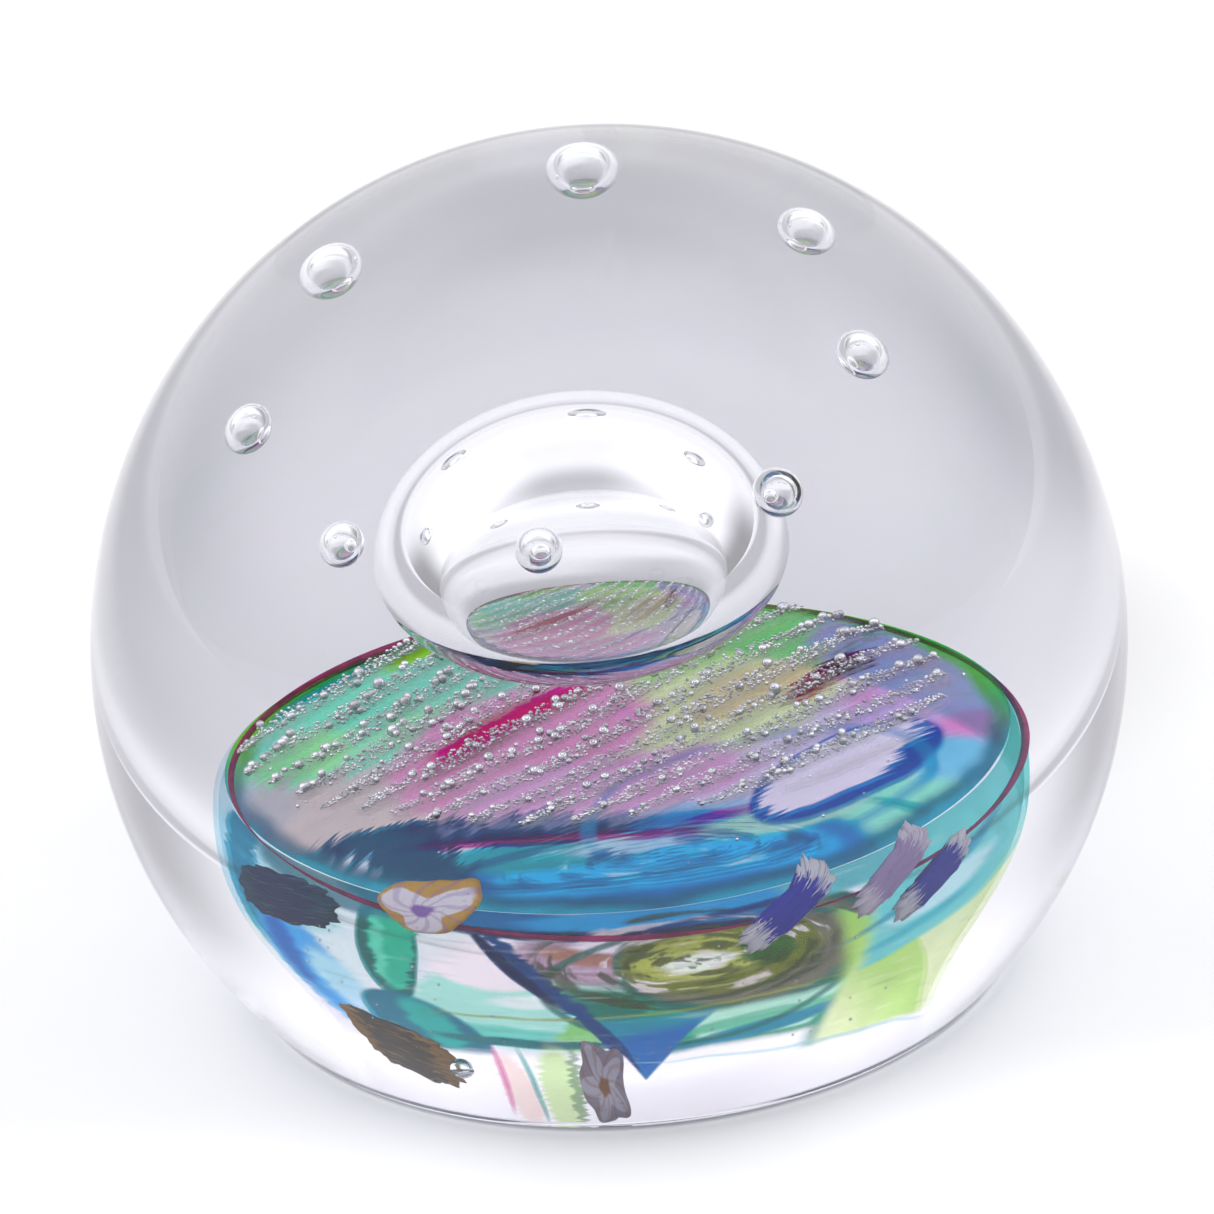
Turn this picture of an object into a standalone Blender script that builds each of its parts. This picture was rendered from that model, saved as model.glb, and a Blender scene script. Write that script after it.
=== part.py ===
"""Solid art-glass paperweight, gathered in stages round a coloured core.

Metres, +Z up. The origin is the centre of the ground foot and -Y is the front.
Four nested charges of clear glass (core, inner, middle and outer gather) all end on the foot.
Between core and inner gather lie the colour veils, the foamed bubble bands, a ruby thread and
the cane slices. The large bubble is trapped between inner and middle gather, the ring of small
bubbles between middle and outer gather: each is half a hollow in one and half in the other.
"""

import math

import bmesh
import bpy
from mathutils import Matrix, Vector

# ---------------------------------------------------------------- driving dimensions (metres)
SPHERE_RADIUS = 0.0400        # outside of the weight at its equator
LOWER_DEPTH = 0.97 * SPHERE_RADIUS  # the lower half is slightly flatter
EQUATOR_HEIGHT = 0.0256       # equator above the ground foot
FOOT_BEVEL = 0.0005           # chamfer ground round the foot
GAP = 0.0003                  # clearance between neighbouring charges of glass

CORE_RADIUS = 0.0196          # coloured core at its shoulder, outside the veils
CORE_SHOULDER_HEIGHT = 0.0162
CORE_DOME_RISE = 0.0032       # the core's nearly flat top over its shoulder
CORE_TOP_HEIGHT = CORE_SHOULDER_HEIGHT + CORE_DOME_RISE
CORE_FOOT_RADIUS = 0.602 * CORE_RADIUS
VEIL_THICKNESS = 0.0006
FOOT_LIP = 0.0010             # the core's foot swells to the full core line under the veils

LARGE_BUBBLE_RADIUS = 0.0108  # big flattened bubble
LARGE_BUBBLE_RISE = 0.0076    # domed above its widest place
LARGE_BUBBLE_DROP = 0.0045    # flatter below it
LARGE_BUBBLE_OFFSET = -0.0010  # along X
LARGE_BUBBLE_CLEARANCE = 0.0067  # clear glass between the core's top and the bubble
LARGE_BUBBLE_HEIGHT = CORE_TOP_HEIGHT + LARGE_BUBBLE_CLEARANCE + LARGE_BUBBLE_DROP

INNER_WALL = 0.0042           # inner gather over the core at its widest
INNER_RADIUS = CORE_RADIUS + INNER_WALL
INNER_WIDEST_HEIGHT = CORE_SHOULDER_HEIGHT + 0.0014
INNER_TOP_HEIGHT = LARGE_BUBBLE_HEIGHT + 0.0006  # it closes over the bubble's lower half
INNER_FOOT_RADIUS = CORE_FOOT_RADIUS + 0.0050
MIDDLE_WALL = 0.0066          # middle gather over the inner one
MIDDLE_RADIUS = INNER_RADIUS + MIDDLE_WALL
MIDDLE_RISE = 0.0200          # middle gather above the equator

RING_COUNT = 8
RING_RADIUS = 0.0182          # circle the small bubbles stand on
RING_TILT = math.radians(7.3)  # right side higher
RING_START = math.radians(-4.0)
RING_BUBBLE_RADIUS = 0.0016
RING_BUBBLE_HALF_HEIGHT = 0.0014

BAND_COUNT = 13
BAND_WIDTH = 0.0010           # one band of foamed glass
BAND_HEIGHT = 0.0006
BAND_PITCH = 0.107 * CORE_RADIUS
BAND_BEND_RADIUS = 4.39 * CORE_RADIUS  # the bands are arcs of large circles
BAND_HEADING = math.radians(-45.0)  # direction from the centre of those circles

THREAD_RADIUS = 0.00035       # ruby thread round the shoulder
THREAD_HEIGHT = CORE_SHOULDER_HEIGHT + 0.0005  # its mean height
THREAD_LEAN = (-0.04, 0.05)   # slope of its plane along X and Y

CANE_THICKNESS = 0.0011
SEED_RADIUS = 0.0006          # stray seed bubble by the core's foot

ROUND_STEPS = 48
CORE_STEPS = 36
EPS = 1e-6

# Veils on the core's top: name, centre and half sizes in core radii, turn in degrees, colour.
# Each one is cut clear of the ones named before it.
TOP_VEILS = (
    ("lavender_oval", 0.56, -0.20, 0.25, 0.09, 57, (0.78, 0.70, 0.90)),
    ("blue_loop", 0.55, -0.20, 0.38, 0.19, 57, (0.05, 0.22, 0.62)),
    ("ruby_smear", 0.52, 0.38, 0.16, 0.05, 66, (0.42, 0.02, 0.10)),
    ("rose_pool", -0.28, 0.07, 0.44, 0.27, 50, (0.75, 0.22, 0.50)),
    ("turquoise_swirl", 0.05, -0.69, 0.52, 0.22, 6, (0.02, 0.45, 0.62)),
    ("navy_swirl", -0.42, -0.48, 0.36, 0.12, -16, (0.03, 0.08, 0.22)),
    ("lime_pool", 0.20, 0.28, 0.46, 0.28, 48, (0.66, 0.80, 0.42)),
    ("violet_pool", 0.12, -0.27, 0.30, 0.20, 20, (0.66, 0.45, 0.68)),
    ("lilac_pool", 0.68, 0.52, 0.38, 0.20, 112, (0.60, 0.42, 0.68)),
    ("aqua_pool", -0.62, 0.38, 0.38, 0.26, 58, (0.30, 0.72, 0.60)),
    ("peach_pool", -0.74, -0.20, 0.32, 0.18, 106, (0.82, 0.66, 0.60)),
    ("lime_rim", -0.16, 0.76, 0.46, 0.19, 14, (0.40, 0.68, 0.16)),
    ("sky_pool", 0.88, 0.04, 0.30, 0.11, 94, (0.45, 0.70, 0.86)),
    ("mint_pool", 0.68, -0.64, 0.26, 0.20, 40, (0.52, 0.82, 0.74)),
)

# Veils on the core's side: name, bearing from the front in degrees (+ is right), height in
# shoulder heights, half sizes in core radii, roll in degrees, colour.
SIDE_VEILS = (
    ("teal_fold", -48, 0.70, 0.11, 0.27, 14, (0.02, 0.42, 0.38)),
    ("mint_window", -24, 0.68, 0.21, 0.21, 0, (0.60, 0.85, 0.78)),
    ("blue_wedge", -1, 0.53, 0.11, 0.26, 24, (0.04, 0.26, 0.50)),
    ("olive_eddy", 22, 0.73, 0.22, 0.15, 0, (0.42, 0.44, 0.12)),
    ("teal_belt", 24, 0.44, 0.22, 0.07, -6, (0.02, 0.40, 0.36)),
    ("lime_veil", 58, 0.51, 0.22, 0.17, 14, (0.72, 0.88, 0.50)),
    ("turquoise_side", 90, 0.70, 0.32, 0.14, 8, (0.10, 0.60, 0.68)),
    ("sky_side", -84, 0.63, 0.24, 0.22, -12, (0.20, 0.52, 0.76)),
    ("foot_wisp", -33, 0.29, 0.10, 0.10, 8, (0.70, 0.52, 0.44)),
    ("lilac_back", 138, 0.63, 0.30, 0.22, 10, (0.56, 0.44, 0.72)),
    ("aqua_back", -132, 0.63, 0.30, 0.22, -10, (0.26, 0.66, 0.64)),
    ("blue_back", 180, 0.58, 0.26, 0.22, 0, (0.10, 0.34, 0.62)),
)

# Cane slices: bearing from the front in degrees, height above the foot in shoulder heights,
# half width, half height, roll in degrees, colour.
CANES = (
    (-38, 0.94, 0.0026, 0.0016, 18, (0.80, 0.76, 0.82)),
    (29, 0.97, 0.0011, 0.0030, -42, (0.10, 0.12, 0.45)),
    (50, 1.04, 0.0012, 0.0024, -48, (0.52, 0.44, 0.56)),
    (66, 0.97, 0.0012, 0.0026, -50, (0.08, 0.10, 0.40)),
    (-10, 0.29, 0.0012, 0.0029, 4, (0.62, 0.56, 0.66)),
    (-60, 0.38, 0.0030, 0.0014, -16, (0.50, 0.32, 0.12)),
    (-72, 0.97, 0.0030, 0.0013, 10, (0.03, 0.07, 0.18)),
)


# ---------------------------------------------------------------- small helpers
def clear_scene():
    for obj in list(bpy.data.objects):
        bpy.data.objects.remove(obj, do_unlink=True)


def glass(name, colour, roughness=0.03, alpha=1.0):
    mat = bpy.data.materials.new(name)
    mat.use_nodes = True
    shader = mat.node_tree.nodes["Principled BSDF"]
    shader.inputs["Base Color"].default_value = (*colour, 1.0)
    shader.inputs["Roughness"].default_value = roughness
    shader.inputs["Metallic"].default_value = 0.0
    shader.inputs["IOR"].default_value = 1.52
    shader.inputs["Alpha"].default_value = alpha
    mat.diffuse_color = (*colour, alpha)
    return mat


def link(name, mesh, material=None):
    obj = bpy.data.objects.new(name, mesh)
    bpy.context.scene.collection.objects.link(obj)
    if material is not None:
        mesh.materials.append(material)
    return obj


def as_cutter(obj):
    obj.hide_render = True
    obj.display_type = "WIRE"
    return obj


def cut(obj, cutter, operation="DIFFERENCE"):
    mod = obj.modifiers.new(operation.lower(), "BOOLEAN")
    mod.operation = operation
    mod.solver = "EXACT"
    mod.object = cutter


def finish_round(obj, angle=35.0):
    """Freeze the modifiers and shade the piece smooth, with its real edges kept sharp."""
    graph = bpy.context.evaluated_depsgraph_get()
    solid = bpy.data.meshes.new_from_object(obj.evaluated_get(graph))
    obj.modifiers.clear()
    obj.data = solid
    solid.shade_smooth()
    solid.set_sharp_from_angle(angle=math.radians(angle))


def lathe(name, profile, steps, material=None):
    """A solid of revolution about Z. The profile runs from the top down its outer side."""
    mesh = bpy.data.meshes.new(name)
    points = [(radius, 0.0, height) for radius, height in profile]
    mesh.from_pydata(points, [(i, i + 1) for i in range(len(points) - 1)], [])
    obj = link(name, mesh, material)
    screw = obj.modifiers.new("turn", "SCREW")
    screw.axis = "Z"
    screw.angle = math.tau
    screw.steps = steps
    screw.render_steps = steps
    screw.use_merge_vertices = True
    screw.merge_threshold = 0.00001
    return obj


def ellipse_arc(radius, rise, base, first, last, count, power=2.0):
    """Points of a (super)ellipse about (0, base), from one polar angle to another in degrees."""
    points = []
    for i in range(count + 1):
        turn = math.radians(first + (last - first) * i / count)
        across = abs(math.cos(turn)) ** (2.0 / power)
        up = abs(math.sin(turn)) ** (2.0 / power)
        side = 1.0 if math.sin(turn) >= 0.0 else -1.0
        points.append((radius * across, base + side * rise * up))
    points = [(0.0 if r < EPS else r, z) for r, z in points]
    return points


def s_curve(start, end, count, share=0.457):
    """Points from start down to end, leaving both of them upright."""
    knee = start[1] + (end[1] - start[1]) * share
    controls = [Vector(p) for p in (start, (start[0], knee), (end[0], knee), end)]
    points = []
    for i in range(1, count + 1):
        t = i / count
        s = 1.0 - t
        weights = (s ** 3, 3 * s * s * t, 3 * s * t * t, t ** 3)
        spot = sum((c * w for c, w in zip(controls, weights)), Vector((0.0, 0.0)))
        points.append((spot.x, spot.y))
    return points


def swell(profile, amount, lift=0.0):
    """Move a profile outward by amount, and by lift more where it faces up."""
    moved = []
    last = len(profile) - 1
    for i, (radius, height) in enumerate(profile):
        ahead = Vector(profile[min(i + 1, last)])
        behind = Vector(profile[max(i - 1, 0)])
        run = (ahead - behind).normalized()
        normal = Vector((-run.y, run.x))
        if i == 0:
            normal = Vector((0.0, 1.0))
        if i == last:
            normal = Vector((1.0, 0.0))
        far = amount + lift * max(0.0, normal.y) ** 2
        moved.append((max(0.0, radius + normal.x * far), height + normal.y * far))
    return moved


def closed_under(profile, reach=0.0):
    """Close a profile level across its lower end, or reach further down for a cutter."""
    closed = list(profile)
    edge, low = closed[-1]
    if reach > 0.0:
        closed.append((edge, low - reach))
    closed.append((0.0, low - reach))
    return closed


# ---------------------------------------------------------------- the four surfaces
def outer_profile():
    drop = math.degrees(math.asin(EQUATOR_HEIGHT / LOWER_DEPTH))
    upper = ellipse_arc(SPHERE_RADIUS, SPHERE_RADIUS, EQUATOR_HEIGHT, 90, 0, 12)
    lower = ellipse_arc(SPHERE_RADIUS, LOWER_DEPTH, EQUATOR_HEIGHT, 0, -drop, 6)
    edge = lower[-1][0]
    lower[-1] = (edge + FOOT_BEVEL * 0.7, FOOT_BEVEL)
    return upper + lower[1:] + [(edge - FOOT_BEVEL * 0.3, 0.0)]


def middle_profile(extra=0.0):
    """Built about the equator's centre, so that it can lean with the bubble ring."""
    upper = ellipse_arc(MIDDLE_RADIUS + extra, MIDDLE_RISE + extra, 0.0, 90, 0, 9)
    lower = ellipse_arc(MIDDLE_RADIUS + extra, LOWER_DEPTH + extra, 0.0, 0, -60, 7)
    return upper + lower[1:]


def inner_profile():
    rise = INNER_TOP_HEIGHT - INNER_WIDEST_HEIGHT
    upper = ellipse_arc(INNER_RADIUS, rise, INNER_WIDEST_HEIGHT, 90, 0, 10, 2.6)
    return upper + s_curve((INNER_RADIUS, INNER_WIDEST_HEIGHT), (INNER_FOOT_RADIUS, 0.0), 7)


def core_profile():
    """Outside of the coloured core, over the veils."""
    rise = CORE_TOP_HEIGHT - CORE_SHOULDER_HEIGHT
    upper = ellipse_arc(CORE_RADIUS, rise, CORE_SHOULDER_HEIGHT, 90, 0, 9, 2.9)
    return upper + s_curve((CORE_RADIUS, CORE_SHOULDER_HEIGHT), (CORE_FOOT_RADIUS, 0.0), 8)


def core_radius_at(height):
    """Radius of the core's side at a height, below or at its shoulder."""
    side = [(CORE_RADIUS, CORE_SHOULDER_HEIGHT)]
    side += s_curve(side[0], (CORE_FOOT_RADIUS, 0.0), 24)
    if height >= CORE_SHOULDER_HEIGHT:
        lean = (height - CORE_SHOULDER_HEIGHT) / (CORE_TOP_HEIGHT - CORE_SHOULDER_HEIGHT)
        return CORE_RADIUS * (1.0 - min(1.0, lean) ** 2.9) ** (1.0 / 2.9)
    for (r0, z0), (r1, z1) in zip(side, side[1:]):
        if z1 <= height <= z0:
            return r0 + (r1 - r0) * (z0 - height) / (z0 - z1)
    return CORE_FOOT_RADIUS


def core_height_at(x, y):
    """Height of the core's top over a point of the plan."""
    share = min(0.985, math.hypot(x, y) / CORE_RADIUS)
    rise = CORE_TOP_HEIGHT - CORE_SHOULDER_HEIGHT
    return CORE_SHOULDER_HEIGHT + rise * (1.0 - share ** 2.9) ** (1.0 / 2.9)


# ---------------------------------------------------------------- cutters
def ellipsoid_cutter(name, centre, half, lean=0.0):
    mesh = bpy.data.meshes.new(name)
    shape = bmesh.new()
    bmesh.ops.create_icosphere(shape, subdivisions=2, radius=1.0)
    bmesh.ops.scale(shape, vec=half, verts=shape.verts)
    bmesh.ops.rotate(shape, cent=(0, 0, 0), matrix=Matrix.Rotation(-lean, 3, "Y"), verts=shape.verts)
    shape.to_mesh(mesh)
    shape.free()
    obj = as_cutter(link(name, mesh))
    obj.location = centre
    return obj


def large_bubble_cutter():
    """The big bubble, lathed finer than the small ones because its wall is plain to see."""
    dome = ellipse_arc(LARGE_BUBBLE_RADIUS, LARGE_BUBBLE_RISE, 0.0, 90, 0, 6)
    dish = ellipse_arc(LARGE_BUBBLE_RADIUS, LARGE_BUBBLE_DROP, 0.0, 0, -90, 6)
    obj = as_cutter(lathe("large_bubble_cutter", dome + dish[1:], CORE_STEPS))
    obj.location = (LARGE_BUBBLE_OFFSET, 0.0, LARGE_BUBBLE_HEIGHT)
    return obj


def oval_cutter(name, half_u, half_v, depth, frame):
    """An oval prism along its own Z, placed by a 4x4 frame."""
    mesh = bpy.data.meshes.new(name)
    shape = bmesh.new()
    bmesh.ops.create_cone(shape, cap_ends=True, segments=28, radius1=1.0, radius2=1.0, depth=depth)
    bmesh.ops.scale(shape, vec=(half_u, half_v, 1.0), verts=shape.verts)
    bmesh.ops.transform(shape, matrix=frame, verts=shape.verts)
    shape.to_mesh(mesh)
    shape.free()
    return as_cutter(link(name, mesh))


def slab_cutter(name, offset, above):
    """Everything above, or below, the leaning plane of the ruby thread moved by offset."""
    size = 0.2
    mesh = bpy.data.meshes.new(name)
    shape = bmesh.new()
    bmesh.ops.create_cube(shape, size=size)
    side = 1.0 if above else -1.0
    bmesh.ops.translate(shape, vec=(0.0, 0.0, side * size / 2), verts=shape.verts)
    normal = Vector((-THREAD_LEAN[0], -THREAD_LEAN[1], 1.0)).normalized()
    turn = Vector((0.0, 0.0, 1.0)).rotation_difference(normal).to_matrix().to_4x4()
    place = Matrix.Translation((0.0, 0.0, THREAD_HEIGHT)) @ turn @ Matrix.Translation((0, 0, offset))
    bmesh.ops.transform(shape, matrix=place, verts=shape.verts)
    shape.to_mesh(mesh)
    shape.free()
    return as_cutter(link(name, mesh))


def foot_cutter():
    """Everything under the foot."""
    size = 0.2
    mesh = bpy.data.meshes.new("foot_cutter")
    shape = bmesh.new()
    bmesh.ops.create_cube(shape, size=size)
    bmesh.ops.translate(shape, vec=(0.0, 0.0, -size / 2), verts=shape.verts)
    shape.to_mesh(mesh)
    shape.free()
    return as_cutter(link("foot_cutter", mesh))


def radial_frame(bearing, height, roll, distance):
    """Frame whose Z points out from the axis, level, at a bearing from the front (-Y)."""
    angle = math.radians(bearing)
    outward = Vector((math.sin(angle), -math.cos(angle), 0.0))
    right = Vector((math.cos(angle), math.sin(angle), 0.0))
    up = Vector((0.0, 0.0, 1.0))
    axes = Matrix((right, up, outward)).transposed().to_4x4()
    spot = outward * distance + up * height
    return Matrix.Translation(spot) @ axes @ Matrix.Rotation(math.radians(roll), 4, "Z")


# ---------------------------------------------------------------- clear gathers
def ring_positions():
    """Centres of the small bubbles, on the leaning middle gather."""
    rise = MIDDLE_RISE * math.sqrt(1.0 - (RING_RADIUS / MIDDLE_RADIUS) ** 2)
    lean = Matrix.Rotation(-RING_TILT, 3, "Y")
    spots = []
    for i in range(RING_COUNT):
        turn = RING_START + math.tau * i / RING_COUNT
        spot = Vector((RING_RADIUS * math.cos(turn), RING_RADIUS * math.sin(turn), rise))
        spots.append(lean @ spot + Vector((0.0, 0.0, EQUATOR_HEIGHT)))
    return spots


def build_gathers():
    clear = glass("clear_glass", (0.86, 0.86, 0.90), 0.02, 0.35)
    middle_clear = glass("clear_glass_middle", (0.84, 0.84, 0.89), 0.02, 0.35)
    inner_clear = glass("clear_glass_inner", (0.82, 0.83, 0.88), 0.02, 0.35)
    core_clear = glass("clear_glass_core", (0.80, 0.84, 0.88), 0.03, 0.6)
    foot = foot_cutter()
    bubble = large_bubble_cutter()
    half = (RING_BUBBLE_RADIUS, RING_BUBBLE_RADIUS, RING_BUBBLE_HALF_HEIGHT)
    ring = []
    for i, spot in enumerate(ring_positions()):
        ring.append(ellipsoid_cutter(f"ring_cutter_{i + 1}", spot, half, RING_TILT))
    half = (SEED_RADIUS, SEED_RADIUS, SEED_RADIUS)
    turn = math.radians(-43)
    height = 0.30 * CORE_RADIUS
    reach = core_radius_at(height) + GAP
    seed_spot = (math.sin(turn) * reach, -math.cos(turn) * reach, height)
    seed = ellipsoid_cutter("seed_cutter", seed_spot, half)

    outer = lathe("outer_clear_gather", closed_under(outer_profile()), ROUND_STEPS, clear)
    hollow = lathe("outer_hollow", closed_under(middle_profile(GAP)), CORE_STEPS)
    lean_middle(hollow)
    cut(outer, as_cutter(hollow))
    for cutter in ring:
        cut(outer, cutter)

    middle = lathe("middle_clear_gather", closed_under(middle_profile()), CORE_STEPS, middle_clear)
    lean_middle(middle)
    cut(middle, foot)
    cut(middle, as_cutter(lathe("middle_hollow", closed_under(swell(inner_profile(), GAP), 0.01), CORE_STEPS)))
    cut(middle, bubble)
    for cutter in ring:
        cut(middle, cutter)

    inner = lathe("inner_clear_gather", closed_under(inner_profile()), CORE_STEPS, inner_clear)
    lid = BAND_HEIGHT + GAP
    hollow_line = swell(core_profile(), GAP, lid)
    cut(inner, as_cutter(lathe("inner_hollow", closed_under(hollow_line, 0.01), CORE_STEPS)))
    cut(inner, bubble)
    cut(inner, seed)
    for i, cane in enumerate(CANES):
        cut(inner, as_cutter(cane_slice(f"cane_socket_{i + 1}", cane, None, GAP)))

    core_line = [p for p in swell(core_profile(), -(VEIL_THICKNESS + GAP)) if p[1] > FOOT_LIP * 1.8]
    core_line += [(core_line[-1][0], FOOT_LIP * 1.5), (core_radius_at(FOOT_LIP), FOOT_LIP)]
    core_line.append((CORE_FOOT_RADIUS, 0.0))
    core = lathe("core_gather", closed_under(core_line), CORE_STEPS, core_clear)
    return [outer, middle, inner, core]


def lean_middle(obj):
    """Lean a piece about the equator's centre with the bubble ring."""
    obj.location = (0.0, 0.0, EQUATOR_HEIGHT)
    obj.rotation_euler = (0.0, -RING_TILT, 0.0)


# ---------------------------------------------------------------- colour veils
def veil_shell(name, material):
    """The whole jacket that the veils are cut from, ending a gap above the core's lip."""
    whole = core_profile()
    outside = [p for p in whole if p[1] > FOOT_LIP * 1.5 + GAP]
    inside = swell(whole, -VEIL_THICKNESS)[:len(outside)]
    return lathe(name, outside + inside[::-1], CORE_STEPS, material)


def build_veils():
    pieces = []
    keep_up = slab_cutter("above_thread", THREAD_RADIUS + GAP, True)
    keep_down = slab_cutter("below_thread", -THREAD_RADIUS - GAP, False)
    before = []
    for name, x, y, half_u, half_v, turn, colour in TOP_VEILS:
        spot = Matrix.Translation((x * CORE_RADIUS, y * CORE_RADIUS, CORE_SHOULDER_HEIGHT))
        frame = spot @ Matrix.Rotation(math.radians(turn), 4, "Z")
        half_u = half_u * CORE_RADIUS
        half_v = half_v * CORE_RADIUS
        depth = CORE_SHOULDER_HEIGHT * 1.9
        veil = veil_shell("veil_" + name, glass("glass_" + name, colour))
        cut(veil, keep_up, "INTERSECT")
        cut(veil, oval_cutter("oval_" + name, half_u, half_v, depth, frame), "INTERSECT")
        centre = Vector((x, y)) * CORE_RADIUS
        for other_centre, other_reach, cutter in before:
            if (centre - other_centre).length < half_u + other_reach:
                cut(veil, cutter)
        wide = oval_cutter("clear_" + name, half_u + GAP, half_v + GAP, depth * 1.1, frame)
        before.append((centre, half_u + GAP, wide))
        pieces.append(veil)
    before = []
    for name, bearing, height, half_u, half_v, roll, colour in SIDE_VEILS:
        frame = radial_frame(bearing, height * CORE_SHOULDER_HEIGHT, roll, CORE_RADIUS)
        half_u = half_u * CORE_RADIUS * 1.2
        half_v = half_v * CORE_RADIUS
        depth = CORE_RADIUS * 1.7
        veil = veil_shell("veil_" + name, glass("glass_" + name, colour))
        cut(veil, keep_down, "INTERSECT")
        cut(veil, oval_cutter("oval_" + name, half_u, half_v, depth, frame), "INTERSECT")
        for other_bearing, cutter in before:
            apart = abs((bearing - other_bearing + 180.0) % 360.0 - 180.0)
            if apart < 75.0:
                cut(veil, cutter)
        wide = oval_cutter("clear_" + name, half_u + GAP, half_v + GAP, depth * 1.1, frame)
        before.append((bearing, wide))
        pieces.append(veil)
    return pieces


# ---------------------------------------------------------------- bands, thread and canes
def band_field_share(x, y):
    """Below 1 inside the oval field of the core's top that carries the bubble bands."""
    return math.hypot((x + 0.04 * CORE_RADIUS) / 0.84, (y - 0.25 * CORE_RADIUS) / 0.66) / CORE_RADIUS


def build_bands():
    """Arcs of foamed glass, from front left to back right, a gap above the veils."""
    material = glass("foamed_glass", (0.80, 0.80, 0.80), 0.25)
    section = bpy.data.curves.new("band_section", "CURVE")
    spline = section.splines.new("POLY")
    spline.points.add(7)
    for i, point in enumerate(spline.points):
        turn = math.tau * i / 8
        point.co = (BAND_WIDTH / 2 * math.cos(turn), BAND_HEIGHT / 2 * math.sin(turn), 0.0, 1.0)
    spline.use_cyclic_u = True
    section_obj = link("band_section", section)
    toward = Vector((math.cos(BAND_HEADING), math.sin(BAND_HEADING)))
    centre = -toward * BAND_BEND_RADIUS
    base = math.atan2(toward.y, toward.x)
    middle = Vector((-0.04, 0.25)) * CORE_RADIUS
    pieces = []
    for number in range(BAND_COUNT):
        radius = BAND_BEND_RADIUS + middle.dot(toward) + (number - (BAND_COUNT - 1) / 2) * BAND_PITCH
        inside = []
        for step in range(-300, 301):
            turn = base + step * 0.001
            x = centre.x + radius * math.cos(turn)
            y = centre.y + radius * math.sin(turn)
            if band_field_share(x, y) < 1.0:
                inside.append(turn)
        count = max(5, round((inside[-1] - inside[0]) * radius / 0.0035))
        name = f"bubble_band_{number + 1:02d}"
        curve = bpy.data.curves.new(name, "CURVE")
        curve.dimensions = "3D"
        curve.twist_mode = "Z_UP"
        curve.bevel_mode = "OBJECT"
        curve.bevel_object = section_obj
        curve.use_fill_caps = True
        run = curve.splines.new("POLY")
        run.points.add(count)
        for i, point in enumerate(run.points):
            turn = inside[0] + (inside[-1] - inside[0]) * i / count
            x = centre.x + radius * math.cos(turn)
            y = centre.y + radius * math.sin(turn)
            point.co = (x, y, core_height_at(x, y) + GAP + BAND_HEIGHT * 0.62, 1.0)
        obj = link(name, curve)
        graph = bpy.context.evaluated_depsgraph_get()
        mesh = bpy.data.meshes.new_from_object(obj.evaluated_get(graph))
        bpy.data.objects.remove(obj, do_unlink=True)
        shape = bmesh.new()
        shape.from_mesh(mesh)
        bmesh.ops.remove_doubles(shape, verts=shape.verts, dist=1e-6)
        bmesh.ops.recalc_face_normals(shape, faces=shape.faces)
        shape.to_mesh(mesh)
        shape.free()
        mesh.materials.clear()
        pieces.append(link(name, mesh, material))
    bpy.data.objects.remove(section_obj, do_unlink=True)
    return pieces


def build_thread():
    """The ruby thread, laid round the shoulder on a leaning plane."""
    material = glass("ruby_glass", (0.45, 0.02, 0.14))
    curve = bpy.data.curves.new("ruby_thread", "CURVE")
    curve.dimensions = "3D"
    curve.bevel_depth = THREAD_RADIUS
    curve.bevel_resolution = 1
    spline = curve.splines.new("POLY")
    spline.points.add(CORE_STEPS - 1)
    for i, point in enumerate(spline.points):
        turn = math.tau * i / CORE_STEPS
        reach = CORE_RADIUS
        for _ in range(6):
            x = reach * math.cos(turn)
            y = reach * math.sin(turn)
            height = THREAD_HEIGHT + THREAD_LEAN[0] * x + THREAD_LEAN[1] * y
            reach = core_radius_at(height) - VEIL_THICKNESS / 2
        point.co = (x, y, height, 1.0)
    spline.use_cyclic_u = True
    obj = link("ruby_thread", curve)
    graph = bpy.context.evaluated_depsgraph_get()
    mesh = bpy.data.meshes.new_from_object(obj.evaluated_get(graph))
    bpy.data.objects.remove(obj, do_unlink=True)
    mesh.materials.clear()
    return link("ruby_thread", mesh, material)


def cane_slice(name, cane, material, grow=0.0):
    """One cane slice lying against the core's side, or its socket when grown."""
    bearing, height, half_u, half_v, roll, _colour = cane
    level = height * CORE_SHOULDER_HEIGHT
    low = core_radius_at(level - 0.001)
    high = core_radius_at(level + 0.001)
    slope = math.atan2(high - low, 0.002)
    widest = max(low, high, core_radius_at(level))
    sink = GAP + 0.12 * max(half_u, half_v)
    frame = radial_frame(bearing, level, 0.0, widest + sink)
    frame = frame @ Matrix.Rotation(slope, 4, "X") @ Matrix.Rotation(math.radians(roll), 4, "Z")
    mesh = bpy.data.meshes.new(name)
    shape = bmesh.new()
    inward = CANE_THICKNESS * 2.0 if grow else 0.0
    depth = CANE_THICKNESS + grow + inward
    bmesh.ops.create_cone(shape, cap_ends=True, segments=20, radius1=1.0, radius2=1.0, depth=depth)
    bmesh.ops.scale(shape, vec=(half_u + grow, half_v + grow, 1.0), verts=shape.verts)
    bmesh.ops.translate(shape, vec=(0.0, 0.0, depth / 2 - inward), verts=shape.verts)
    bmesh.ops.transform(shape, matrix=frame, verts=shape.verts)
    shape.to_mesh(mesh)
    shape.free()
    obj = link(name, mesh, material)
    if not grow:
        bevel = obj.modifiers.new("round", "BEVEL")
        bevel.width = CANE_THICKNESS * 0.2
        bevel.segments = 1
        bevel.limit_method = "ANGLE"
        bevel.angle_limit = math.radians(50)
    return obj


def build_canes():
    pieces = []
    for i, cane in enumerate(CANES):
        material = glass(f"cane_glass_{i + 1}", cane[-1], 0.15)
        pieces.append(cane_slice(f"millefiori_cane_{i + 1}", cane, material))
    return pieces


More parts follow.
